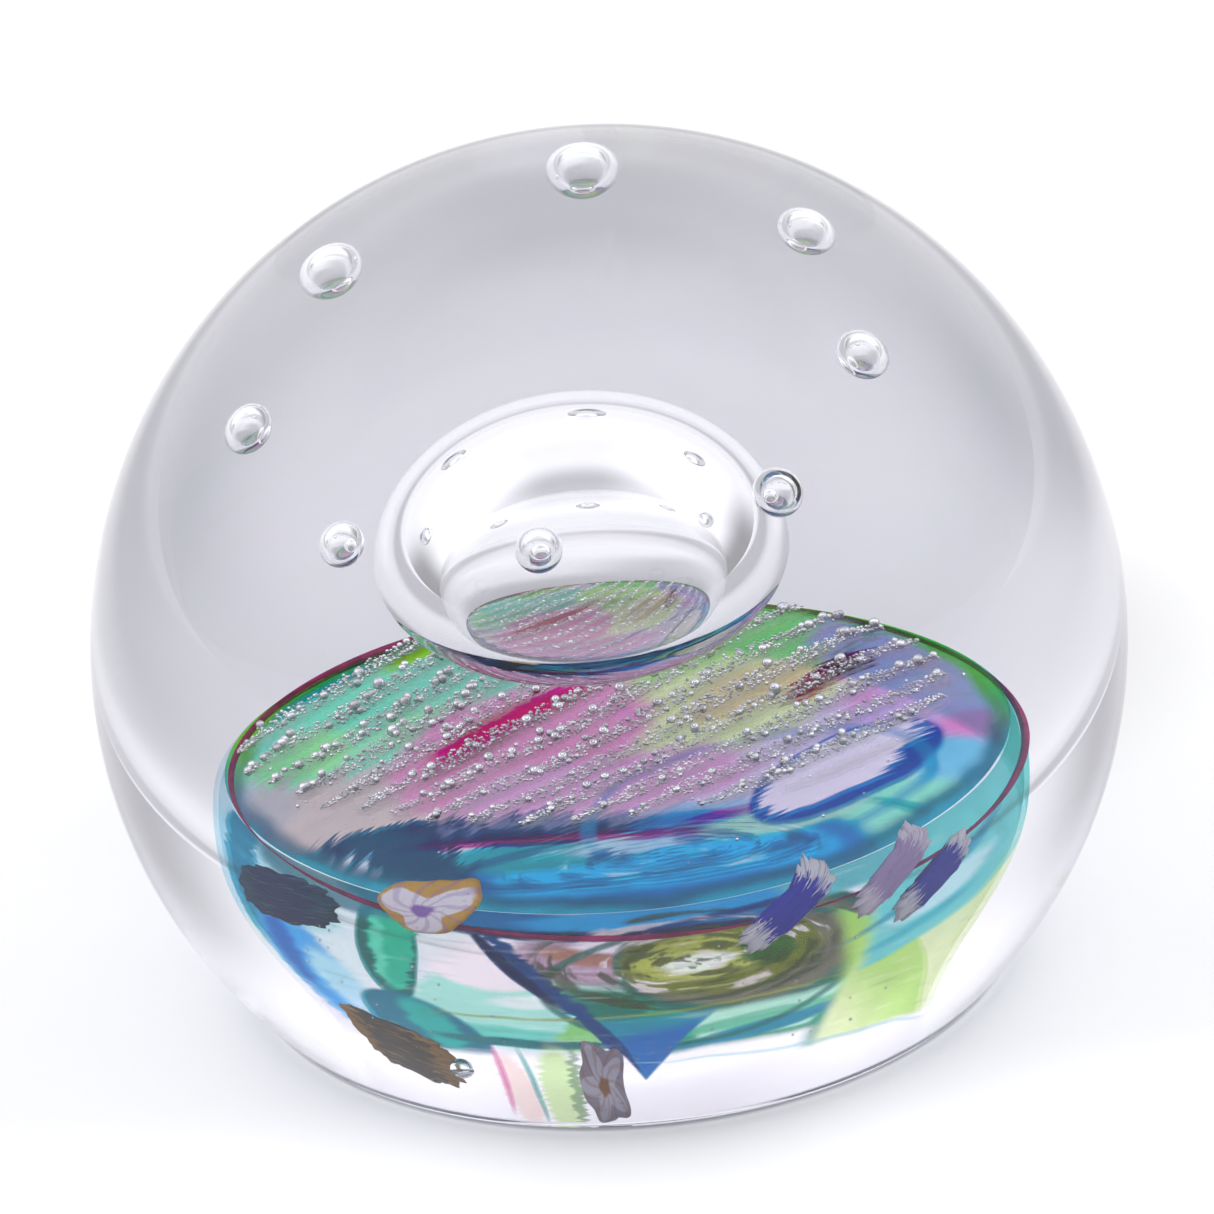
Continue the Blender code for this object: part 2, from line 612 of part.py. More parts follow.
# ---------------------------------------------------------------- assemble
def build():
    clear_scene()
    pieces = build_gathers()
    pieces += build_veils()
    pieces += build_bands()
    pieces.append(build_thread())
    pieces += build_canes()
    bpy.context.view_layer.update()
    for piece in pieces:
        finish_round(piece)
    kept = {piece.name for piece in pieces}
    for obj in list(bpy.data.objects):
        if obj.name not in kept:
            bpy.data.objects.remove(obj, do_unlink=True)


build()
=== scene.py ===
import math
import random

import bmesh
import bpy
import numpy as np
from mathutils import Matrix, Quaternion, Vector


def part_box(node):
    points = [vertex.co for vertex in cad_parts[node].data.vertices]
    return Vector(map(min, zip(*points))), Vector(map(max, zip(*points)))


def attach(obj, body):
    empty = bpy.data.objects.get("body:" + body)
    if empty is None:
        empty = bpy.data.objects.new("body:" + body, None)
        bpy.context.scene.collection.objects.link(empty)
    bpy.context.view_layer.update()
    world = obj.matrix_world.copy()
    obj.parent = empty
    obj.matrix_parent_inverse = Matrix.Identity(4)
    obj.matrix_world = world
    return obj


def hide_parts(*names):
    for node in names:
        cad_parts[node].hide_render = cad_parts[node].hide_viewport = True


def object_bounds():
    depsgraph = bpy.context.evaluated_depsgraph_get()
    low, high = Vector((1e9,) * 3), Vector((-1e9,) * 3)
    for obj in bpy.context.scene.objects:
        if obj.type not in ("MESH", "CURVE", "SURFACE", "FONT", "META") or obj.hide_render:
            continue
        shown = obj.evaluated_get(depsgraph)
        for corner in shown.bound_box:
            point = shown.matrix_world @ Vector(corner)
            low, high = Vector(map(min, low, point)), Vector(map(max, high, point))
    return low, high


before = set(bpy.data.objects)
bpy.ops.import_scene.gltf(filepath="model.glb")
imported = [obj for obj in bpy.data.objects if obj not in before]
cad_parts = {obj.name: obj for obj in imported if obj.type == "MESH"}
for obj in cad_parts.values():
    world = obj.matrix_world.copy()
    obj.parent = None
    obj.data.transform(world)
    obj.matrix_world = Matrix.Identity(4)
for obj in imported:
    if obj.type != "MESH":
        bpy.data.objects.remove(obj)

# ---------------------------------------------------------------- sizes, all from the frame
CAD_LOW, CAD_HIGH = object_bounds()
R = (CAD_HIGH.x - CAD_LOW.x) / 2
EQUATOR = CAD_HIGH.z - R
CORE_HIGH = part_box("core_gather")[1]
VEIL_GAP = 0.0009              # the colour lies this far outside the core gather
CORE_R = CORE_HIGH.x + VEIL_GAP
CORE_TOP = CORE_HIGH.z + VEIL_GAP
SHOULDER = CORE_TOP - 0.08 * R
CORE_FOOT_R = 0.295 * R
DOME_POWER = 2.9               # how square the core's shoulder is in section
LOWER_DEPTH = 0.97 * R         # the ball's lower half is this deep, before the foot is ground
SIDE_SCALE = 0.45              # one radian round the core's side, in sphere radii
IOR = 1.52
rng = random.Random(7)


# ---------------------------------------------------------------- meshes
def new_object(name, verts, faces):
    mesh = bpy.data.meshes.new(name)
    mesh.from_pydata([tuple(v) for v in verts], [], faces)
    mesh.update()
    mesh.shade_smooth()
    obj = bpy.data.objects.new(name, mesh)
    bpy.context.scene.collection.objects.link(obj)
    return obj


def lathe_data(profile, steps):
    """Vertices and faces of a turned surface; the profile runs from top to bottom."""
    verts = []
    faces = []
    rows = []
    for radius, height in profile:
        if radius < 1e-7:
            rows.append([len(verts)])
            verts.append(Vector((0, 0, height)))
            continue
        row = []
        for i in range(steps):
            a = math.tau * i / steps
            row.append(len(verts))
            verts.append(Vector((radius * math.cos(a), radius * math.sin(a), height)))
        rows.append(row)
    for up, down in zip(rows, rows[1:]):
        n = max(len(up), len(down))
        for i in range(n):
            j = (i + 1) % n
            if len(up) == 1:
                faces.append((up[0], down[i], down[j]))
            elif len(down) == 1:
                faces.append((up[i], down[0], up[j]))
            else:
                faces.append((up[i], down[i], down[j], up[j]))
    return verts, faces


def arc(radius, rise, base, first, last, count, power=2.0):
    """Points (radius, height) on part of an oval, or of a squarer curve for a higher power."""
    points = []
    for i in range(count + 1):
        t = math.radians(first + (last - first) * i / count)
        c = abs(math.cos(t)) ** (2 / power)
        s = abs(math.sin(t)) ** (2 / power) * (1 if math.sin(t) >= 0 else -1)
        points.append((radius * c if c > 1e-6 else 0.0, base + rise * s))
    return points


def s_curve(start, end, count, share=0.457):
    """Points on a curve that leaves start and reaches end upright."""
    knee = start[1] + (end[1] - start[1]) * share
    ctl = [Vector(p) for p in (start, (start[0], knee), (end[0], knee), end)]
    out = []
    for i in range(1, count + 1):
        t = i / count
        s = 1 - t
        p = ctl[0] * s ** 3 + ctl[1] * 3 * s * s * t + ctl[2] * 3 * s * t * t + ctl[3] * t ** 3
        out.append((p.x, p.y))
    return out


def core_top_z(x, y):
    share = min(0.999, math.hypot(x, y) / CORE_R)
    return SHOULDER + (CORE_TOP - SHOULDER) * (1 - share ** DOME_POWER) ** (1 / DOME_POWER)


SIDE_LINE = [(CORE_R, SHOULDER)] + s_curve((CORE_R, SHOULDER), (CORE_FOOT_R, 0.0), 60)


def core_side_r(z):
    if z >= SHOULDER:
        lean = min(1.0, (z - SHOULDER) / (CORE_TOP - SHOULDER))
        return CORE_R * (1 - lean ** DOME_POWER) ** (1 / DOME_POWER)
    for (r0, z0), (r1, z1) in zip(SIDE_LINE, SIDE_LINE[1:]):
        if z1 <= z <= z0:
            return r0 + (r1 - r0) * (z0 - z) / (z0 - z1)
    return CORE_FOOT_R


def side_point(degrees, z, out=0.0):
    """Point on the core's side; degrees from the front, + to the right."""
    a = math.radians(degrees)
    r = core_side_r(z) + out
    return Vector((r * math.sin(a), -r * math.cos(a), z))


def ico(subdivisions):
    """Vertices and triangles of a unit ball."""
    bm = bmesh.new()
    bmesh.ops.create_icosphere(bm, subdivisions=subdivisions, radius=1.0)
    v = np.array([p.co[:] for p in bm.verts])
    f = [tuple(p.index for p in face.verts) for face in bm.faces]
    bm.free()
    return v, f


# ---------------------------------------------------------------- node helper
class Net:
    """A node tree in short form: each method adds one node and returns its output."""

    def __init__(self, name):
        self.mat = bpy.data.materials.new(name)
        self.mat.use_nodes = True
        self.tree = self.mat.node_tree
        self.tree.nodes.clear()
        self.out = self.tree.nodes.new("ShaderNodeOutputMaterial")

    def node(self, kind, *inputs, **props):
        n = self.tree.nodes.new(kind)
        for k, v in props.items():
            setattr(n, k, v)
        for i, v in enumerate(inputs):
            self.feed(n.inputs[i], v)
        return n

    def feed(self, socket, value):
        if value is None:
            return
        if isinstance(value, bpy.types.NodeSocket):
            self.tree.links.new(value, socket)
        elif isinstance(value, bpy.types.Node):
            self.tree.links.new(value.outputs[0], socket)
        elif hasattr(socket.default_value, "__len__"):
            n = len(socket.default_value)
            value = tuple(value) + (1.0,) * (n - len(value)) if n == 4 else tuple(value)
            socket.default_value = value
        else:
            socket.default_value = value

    def math(self, op, a, b=None, c=None, clamp=False):
        return self.node("ShaderNodeMath", a, b, c, operation=op, use_clamp=clamp).outputs[0]

    def vmath(self, op, a, b=None, out=0):
        return self.node("ShaderNodeVectorMath", a, b, operation=op).outputs[out]

    def mix(self, a, b, share, blend="MIX"):
        n = self.tree.nodes.new("ShaderNodeMix")
        n.data_type = "RGBA"
        n.blend_type = blend
        n.clamp_factor = True
        self.feed(n.inputs[0], share)
        self.feed(n.inputs[6], a)
        self.feed(n.inputs[7], b)
        return n.outputs[2]

    def ramp(self, value, lo, hi, to_lo=0.0, to_hi=1.0, smooth=True):
        n = self.tree.nodes.new("ShaderNodeMapRange")
        n.interpolation_type = "SMOOTHSTEP" if smooth else "LINEAR"
        n.clamp = True
        for s, v in zip(n.inputs[:5], (value, lo, hi, to_lo, to_hi)):
            self.feed(s, v)
        return n.outputs[0]

    def noise(self, vector, scale, detail=3.0, rough=0.5, colour=False):
        n = self.tree.nodes.new("ShaderNodeTexNoise")
        self.feed(n.inputs["Vector"], vector)
        n.inputs["Scale"].default_value = scale
        n.inputs["Detail"].default_value = detail
        n.inputs["Roughness"].default_value = rough
        return n.outputs[1 if colour else 0]

    def place(self, vector, loc=(0, 0, 0), turn=0.0, scale=(1, 1, 1)):
        n = self.tree.nodes.new("ShaderNodeMapping")
        n.vector_type = "TEXTURE"
        self.feed(n.inputs["Vector"], vector)
        n.inputs["Location"].default_value = loc
        n.inputs["Rotation"].default_value = (0, 0, math.radians(turn))
        n.inputs["Scale"].default_value = scale
        return n.outputs[0]

    def object_coords(self):
        return self.tree.nodes.new("ShaderNodeTexCoord").outputs["Object"]

    def done(self, surface, volume=None):
        self.feed(self.out.inputs["Surface"], surface)
        if volume is not None:
            self.feed(self.out.inputs["Volume"], volume)
        return self.mat


def glass_body_material():
    n = Net("clear_crystal")
    co = n.object_coords()
    cords = n.noise(n.vmath("MULTIPLY", co, (20.0, 20.0, 90.0)), 1.0, 2.0, 0.4)
    shader = n.node("ShaderNodeBsdfPrincipled")
    n.feed(shader.inputs["Base Color"], n.mix((1.0, 1.0, 1.0), (0.975, 0.98, 0.985), cords))
    shader.inputs["Roughness"].default_value = 0.0
    shader.inputs["IOR"].default_value = IOR
    shader.inputs["Transmission Weight"].default_value = 1.0
    volume = n.node("ShaderNodeVolumeAbsorption")
    volume.inputs["Color"].default_value = (0.57, 0.56, 0.67, 1)
    volume.inputs["Density"].default_value = 10.5
    return n.done(shader, volume)


def oval(net, point, x, y, a, b, turn=0.0, soft=0.3):
    """Everything inside an oval with half axes a and b."""
    local = net.place(point, (x, y, 0), turn, (a, b, 1))
    return net.ramp(net.vmath("LENGTH", local, out=1), 1.0 + soft * 0.5, 1.0 - soft * 0.5)


def loop(net, point, x, y, a, b, turn, width, soft=0.5):
    """The drawn-out edge of an oval: a closed line of the given width (share of its size)."""
    local = net.place(point, (x, y, 0), turn, (a, b, 1))
    off = net.math("ABSOLUTE", net.math("SUBTRACT", net.vmath("LENGTH", local, out=1), 1.0))
    return net.ramp(off, width * (1 + soft), width * (1 - soft))


def eddy(net, point, x, y, a, b, turn, tint, dark, pale, lines=9.0):
    """Streaks that run round a swirl, dark and pale."""
    local = net.place(point, (x, y, 0), turn, (a, b, 1))
    xy = net.node("ShaderNodeSeparateXYZ", local)
    reach = net.vmath("LENGTH", local, out=1)
    around = net.math("ARCTAN2", xy.outputs[1], xy.outputs[0])
    spun = net.node("ShaderNodeCombineXYZ", net.math("MULTIPLY", reach, lines),
                    net.math("COSINE", around), net.math("SINE", around)).outputs[0]
    streak = net.noise(spun, 0.9, 3.0, 0.6)
    inside = net.ramp(reach, 1.0, 0.88)
    tint = net.mix(tint, seen(dark), both(net, inside, net.ramp(streak, 0.53, 0.60, 0.0, 0.85)))
    return net.mix(tint, seen(pale), both(net, inside, net.ramp(streak, 0.44, 0.38, 0.0, 0.75)))


def side_of(net, point, x, y, turn, soft):
    """Everything to the left of a line through (x, y) that runs in the direction of turn."""
    local = net.place(point, (x, y, 0), turn)
    return net.ramp(net.node("ShaderNodeSeparateXYZ", local).outputs[1], -soft, soft)


def seen(colour, power=1.45):
    """The share of light that a glass passes, from the colour it looks."""
    return tuple(c ** power for c in colour)


def paint(net, point, strokes, base):
    """Lay the strokes of colour over each other; a stroke is (mask, strength, colour)."""
    tint = base
    for mask, strength, colour in strokes:
        share = mask if strength >= 1.0 else net.math("MULTIPLY", mask, strength)
        tint = net.mix(tint, seen(colour), share)
    return tint


def both(net, *masks):
    """Where all masks overlap."""
    out = masks[0]
    for mask in masks[1:]:
        out = net.math("MULTIPLY", out, mask)
    return out


FACE_SHARE = 0.34              # power of the tint that each face of a thin shell takes


def veil_shader(net, tint, milk, milk_colour):
    """Index-matched coloured glass: it tints what passes, and a little of it is milky."""
    per_face = net.node("ShaderNodeGamma", tint, FACE_SHARE)
    clear = net.node("ShaderNodeBsdfTransparent", per_face)
    cloud = net.node("ShaderNodeBsdfDiffuse", milk_colour)
    glow = net.node("ShaderNodeBsdfTranslucent", milk_colour)
    body = net.node("ShaderNodeMixShader", 0.5, cloud, glow)
    return net.node("ShaderNodeMixShader", milk, clear, body)


# the combed bands of foam are arcs of circles round one far point (all in sphere radii)
BAND_BEND = 2.15
BAND_PITCH = 0.0525
BAND_COUNT = sum(n.startswith("bubble_band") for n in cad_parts)
BAND_TURN = math.radians(-45)
BAND_TOWARD = Vector((math.cos(BAND_TURN), math.sin(BAND_TURN), 0))
BAND_CENTRE = -BAND_TOWARD * BAND_BEND
BAND_FIELD = (-0.02, 0.12, 0.41, 0.335)
BAND_MIDDLE = BAND_BEND + Vector((BAND_FIELD[0], BAND_FIELD[1], 0)).dot(BAND_TOWARD)
BAND_FIRST = BAND_MIDDLE - (BAND_COUNT - 1) / 2 * BAND_PITCH


def top_material():
    n = Net("core_top_veils")
    flat = n.vmath("MULTIPLY", n.object_coords(), (1 / R, 1 / R, 0))
    comb = n.noise(n.place(flat, (0, 0, 0), 47, (0.30, 0.014, 1)), 1.0, 2.5, 0.6)
    comb = n.math("SUBTRACT", comb, 0.5)
    swirl = n.vmath("SUBTRACT", n.noise(flat, 5.0, 2.0, 0.5, True), (0.5, 0.5, 0.5))
    swirl = n.vmath("MULTIPLY", swirl, (0.06, 0.06, 0))
    drag_x, drag_y = n.math("MULTIPLY", comb, 0.13), n.math("MULTIPLY", comb, 0.14)
    along = n.node("ShaderNodeCombineXYZ", drag_x, drag_y, 0.0)
    calm = n.vmath("ADD", flat, swirl)
    p = n.vmath("ADD", calm, along)

    def spot(*shape, soft=0.3, on=p):
        return oval(n, on, *shape, soft=soft)

    strokes = [
        (spot(0.00, 0.10, 0.46, 0.44), 1, (0.86, 0.74, 0.90)),
        (spot(0.44, -0.06, 0.08, 0.20, 8, soft=0.4), 1, (0.36, 0.72, 0.90)),
        (spot(0.39, 0.11, 0.12, 0.09, 10, soft=0.4), 1, (0.96, 0.44, 0.74)),
        (spot(0.33, 0.06, 0.09, 0.06, 60, soft=0.6), 0.8, (0.70, 0.60, 0.88)),
        (spot(0.35, -0.27, 0.20, 0.12, 40, soft=0.3), 1, (0.44, 0.88, 0.72)),
        (spot(-0.34, -0.07, 0.15, 0.17, 10, soft=0.3), 1, (0.84, 0.68, 0.68)),
        (spot(-0.26, 0.20, 0.21, 0.14, 40, soft=0.2), 1, (0.44, 0.92, 0.74)),
        (spot(-0.37, 0.11, 0.08, 0.06, 40, soft=0.6), 1, (0.56, 0.94, 0.54)),
        (spot(-0.20, 0.17, 0.14, 0.04, 44, soft=0.5), 0.8, (0.60, 0.90, 0.62)),
        (spot(-0.25, 0.42, 0.24, 0.09, 28, soft=0.2), 1, (0.40, 0.74, 0.08)),
        (spot(-0.31, 0.315, 0.20, 0.022, 38, soft=0.4), 1, (0.01, 0.36, 0.42)),
        (spot(-0.12, 0.30, 0.14, 0.07, 40, soft=0.4), 1, (0.44, 0.84, 0.70)),
        (spot(0.12, 0.30, 0.15, 0.17, 60, soft=0.2), 1, (0.68, 0.94, 0.46)),
        (spot(0.09, 0.08, 0.24, 0.11, 46, soft=0.25), 1, (0.96, 1.0, 0.64)),
        (spot(0.16, 0.17, 0.12, 0.045, 48, soft=0.4), 0.9, (0.90, 0.76, 0.50)),
        (spot(-0.05, 0.20, 0.16, 0.030, 46, soft=0.5), 0.7, (0.82, 0.60, 0.56)),
        (spot(-0.13, 0.04, 0.22, 0.13, 50, soft=0.2), 1, (1.0, 0.52, 0.76)),
        (spot(-0.03, -0.10, 0.20, 0.10, 12, soft=0.3), 1, (0.96, 0.58, 0.84)),
        (spot(-0.12, 0.13, 0.14, 0.022, 42, soft=0.6), 1, (0.84, 0.05, 0.22)),
        (spot(-0.17, 0.05, 0.12, 0.016, 44, soft=0.5), 0.8, (0.60, 0.03, 0.26)),
        (spot(0.33, 0.29, 0.20, 0.11, 112, soft=0.2), 1, (0.88, 0.60, 0.92)),
        (spot(0.36, 0.22, 0.10, 0.030, 112, soft=0.5), 0.8, (0.90, 0.60, 0.82)),
        (spot(0.265, 0.33, 0.15, 0.007, 82, soft=0.6), 0.7, (0.16, 0.22, 0.06)),
        (spot(0.245, 0.195, 0.080, 0.020, 66, soft=0.2), 1, (0.34, 0.01, 0.05)),
        (spot(0.06, -0.235, 0.26, 0.055, 8, soft=0.3), 1, (0.48, 0.68, 0.90)),
        (spot(0.02, -0.35, 0.34, 0.14, 6, soft=0.15, on=calm), 1, (0.00, 0.24, 0.62)),
        (spot(0.05, -0.35, 0.25, 0.080, 8, soft=0.2, on=calm), 1, (0.01, 0.60, 1.0)),
        (spot(-0.11, -0.30, 0.15, 0.050, 0, soft=0.2, on=calm), 1, (0.00, 0.44, 0.54)),
        (spot(0.04, -0.29, 0.13, 0.030, 10, soft=0.5, on=calm), 0.9, (0.62, 0.82, 0.96)),
        (loop(n, calm, 0.00, -0.33, 0.24, 0.07, 6, 0.08), 0.9, (0.00, 0.09, 0.32)),
        (spot(-0.20, -0.20, 0.24, 0.045, -4, soft=0.15), 1, (0.01, 0.03, 0.16)),
        (spot(-0.30, -0.27, 0.06, 0.12, 30, soft=0.2), 1, (0.00, 0.09, 0.22)),
        (spot(-0.10, -0.19, 0.16, 0.018, -4, soft=0.6), 0.8, (0.30, 0.32, 0.52)),
        (spot(-0.07, -0.252, 0.22, 0.012, -7, soft=0.5, on=calm), 1, (0.34, 0.01, 0.14)),
        (spot(0.16, -0.205, 0.10, 0.010, 28, soft=0.5, on=calm), 0.8, (0.40, 0.04, 0.30)),
        (spot(0.22, -0.24, 0.12, 0.045, 26, soft=0.4, on=calm), 0.9, (0.56, 0.86, 0.70)),
        (spot(0.285, -0.10, 0.180, 0.082, 57, soft=0.10, on=calm), 1, (0.00, 0.08, 0.46)),
        (spot(0.280, -0.088, 0.158, 0.062, 57, soft=0.10), 1, (1.0, 0.90, 1.0)),
        (loop(n, calm, 0.17, -0.17, 0.26, 0.17, 38, 0.045), 0.6, (0.02, 0.30, 0.62)),
        (spot(0.42, -0.215, 0.09, 0.010, -16, soft=0.6, on=calm), 0.9, (0.02, 0.40, 0.44)),
    ]
    tint = paint(n, p, strokes, seen((0.84, 0.82, 0.93)))
    tint = eddy(n, calm, 0.05, -0.335, 0.25, 0.095, 7, tint, (0.00, 0.12, 0.40), (0.76, 0.94, 1.0), 7.0)
    hair = n.noise(n.place(flat, (0, 0, 0), 30, (0.30, 0.006, 1)), 1.0, 2.0, 0.6)
    tint = n.mix(tint, (0.12, 0.16, 0.36), n.ramp(hair, 0.58, 0.74, 0.0, 0.30))
    tint = n.mix(tint, (0.96, 0.96, 0.99), n.ramp(hair, 0.40, 0.28, 0.0, 0.14))
    nudged = n.vmath("ADD", flat, n.vmath("MULTIPLY", swirl, (0.12, 0.12, 0)))
    reach = n.vmath("LENGTH", n.vmath("SUBTRACT", nudged, BAND_CENTRE), out=1)
    phase = n.math("DIVIDE", n.math("SUBTRACT", reach, BAND_FIRST - 0.5 * BAND_PITCH), BAND_PITCH)
    off = n.math("ABSOLUTE", n.math("SUBTRACT", n.math("FRACT", phase), 0.5))
    grit = n.noise(flat, 95.0, 2.0, 0.7)
    grit = n.math("MULTIPLY", n.math("SUBTRACT", grit, 0.5), 0.50)
    stripe = n.ramp(n.math("ADD", off, grit), 0.27, 0.17)
    field = oval(n, flat, *BAND_FIELD, 0, 0.04)
    foam = n.math("MULTIPLY", stripe, field)
    tint = n.mix(tint, n.mix(tint, (0.58, 0.58, 0.58), 0.42), foam)
    wide = n.vmath("LENGTH", calm, out=1)
    far = n.node("ShaderNodeSeparateXYZ", calm).outputs[1]
    edge = n.mix((0.00, 0.07, 0.16), (0.22, 0.56, 0.03), n.ramp(far, 0.04, 0.24))
    tint = n.mix(tint, edge, n.ramp(wide, 0.440, 0.462, 0.0, 0.9))
    rim = n.mix((0.01, 0.30, 0.46), (0.16, 0.64, 0.14), n.ramp(far, 0.04, 0.24))
    tint = n.mix(tint, rim, n.ramp(wide, 0.465, 0.478))
    milk = n.ramp(n.noise(flat, 9.0, 3.0, 0.6), 0.3, 0.8, 0.09, 0.20)
    tint = n.node("ShaderNodeHueSaturation", 0.5, 1.18, 1.12, 1.0, tint).outputs[0]
    milk = n.math("ADD", milk, n.math("MULTIPLY", foam, 0.25), clamp=True)
    return n.done(veil_shader(n, tint, milk, tint))


def side_coords(n):
    """Bearing along the core's side (in sphere radii) and height over the equator."""
    co = n.node("ShaderNodeSeparateXYZ", n.object_coords())
    turn = n.math("ARCTAN2", co.outputs[0], n.math("MULTIPLY", co.outputs[1], -1.0))
    across = n.math("MULTIPLY", turn, SIDE_SCALE)
    up = n.math("DIVIDE", n.math("SUBTRACT", co.outputs[2], EQUATOR), R)
    return n.node("ShaderNodeCombineXYZ", across, up, 0.0).outputs[0]


def bearing(degrees):
    return math.radians(degrees) * SIDE_SCALE


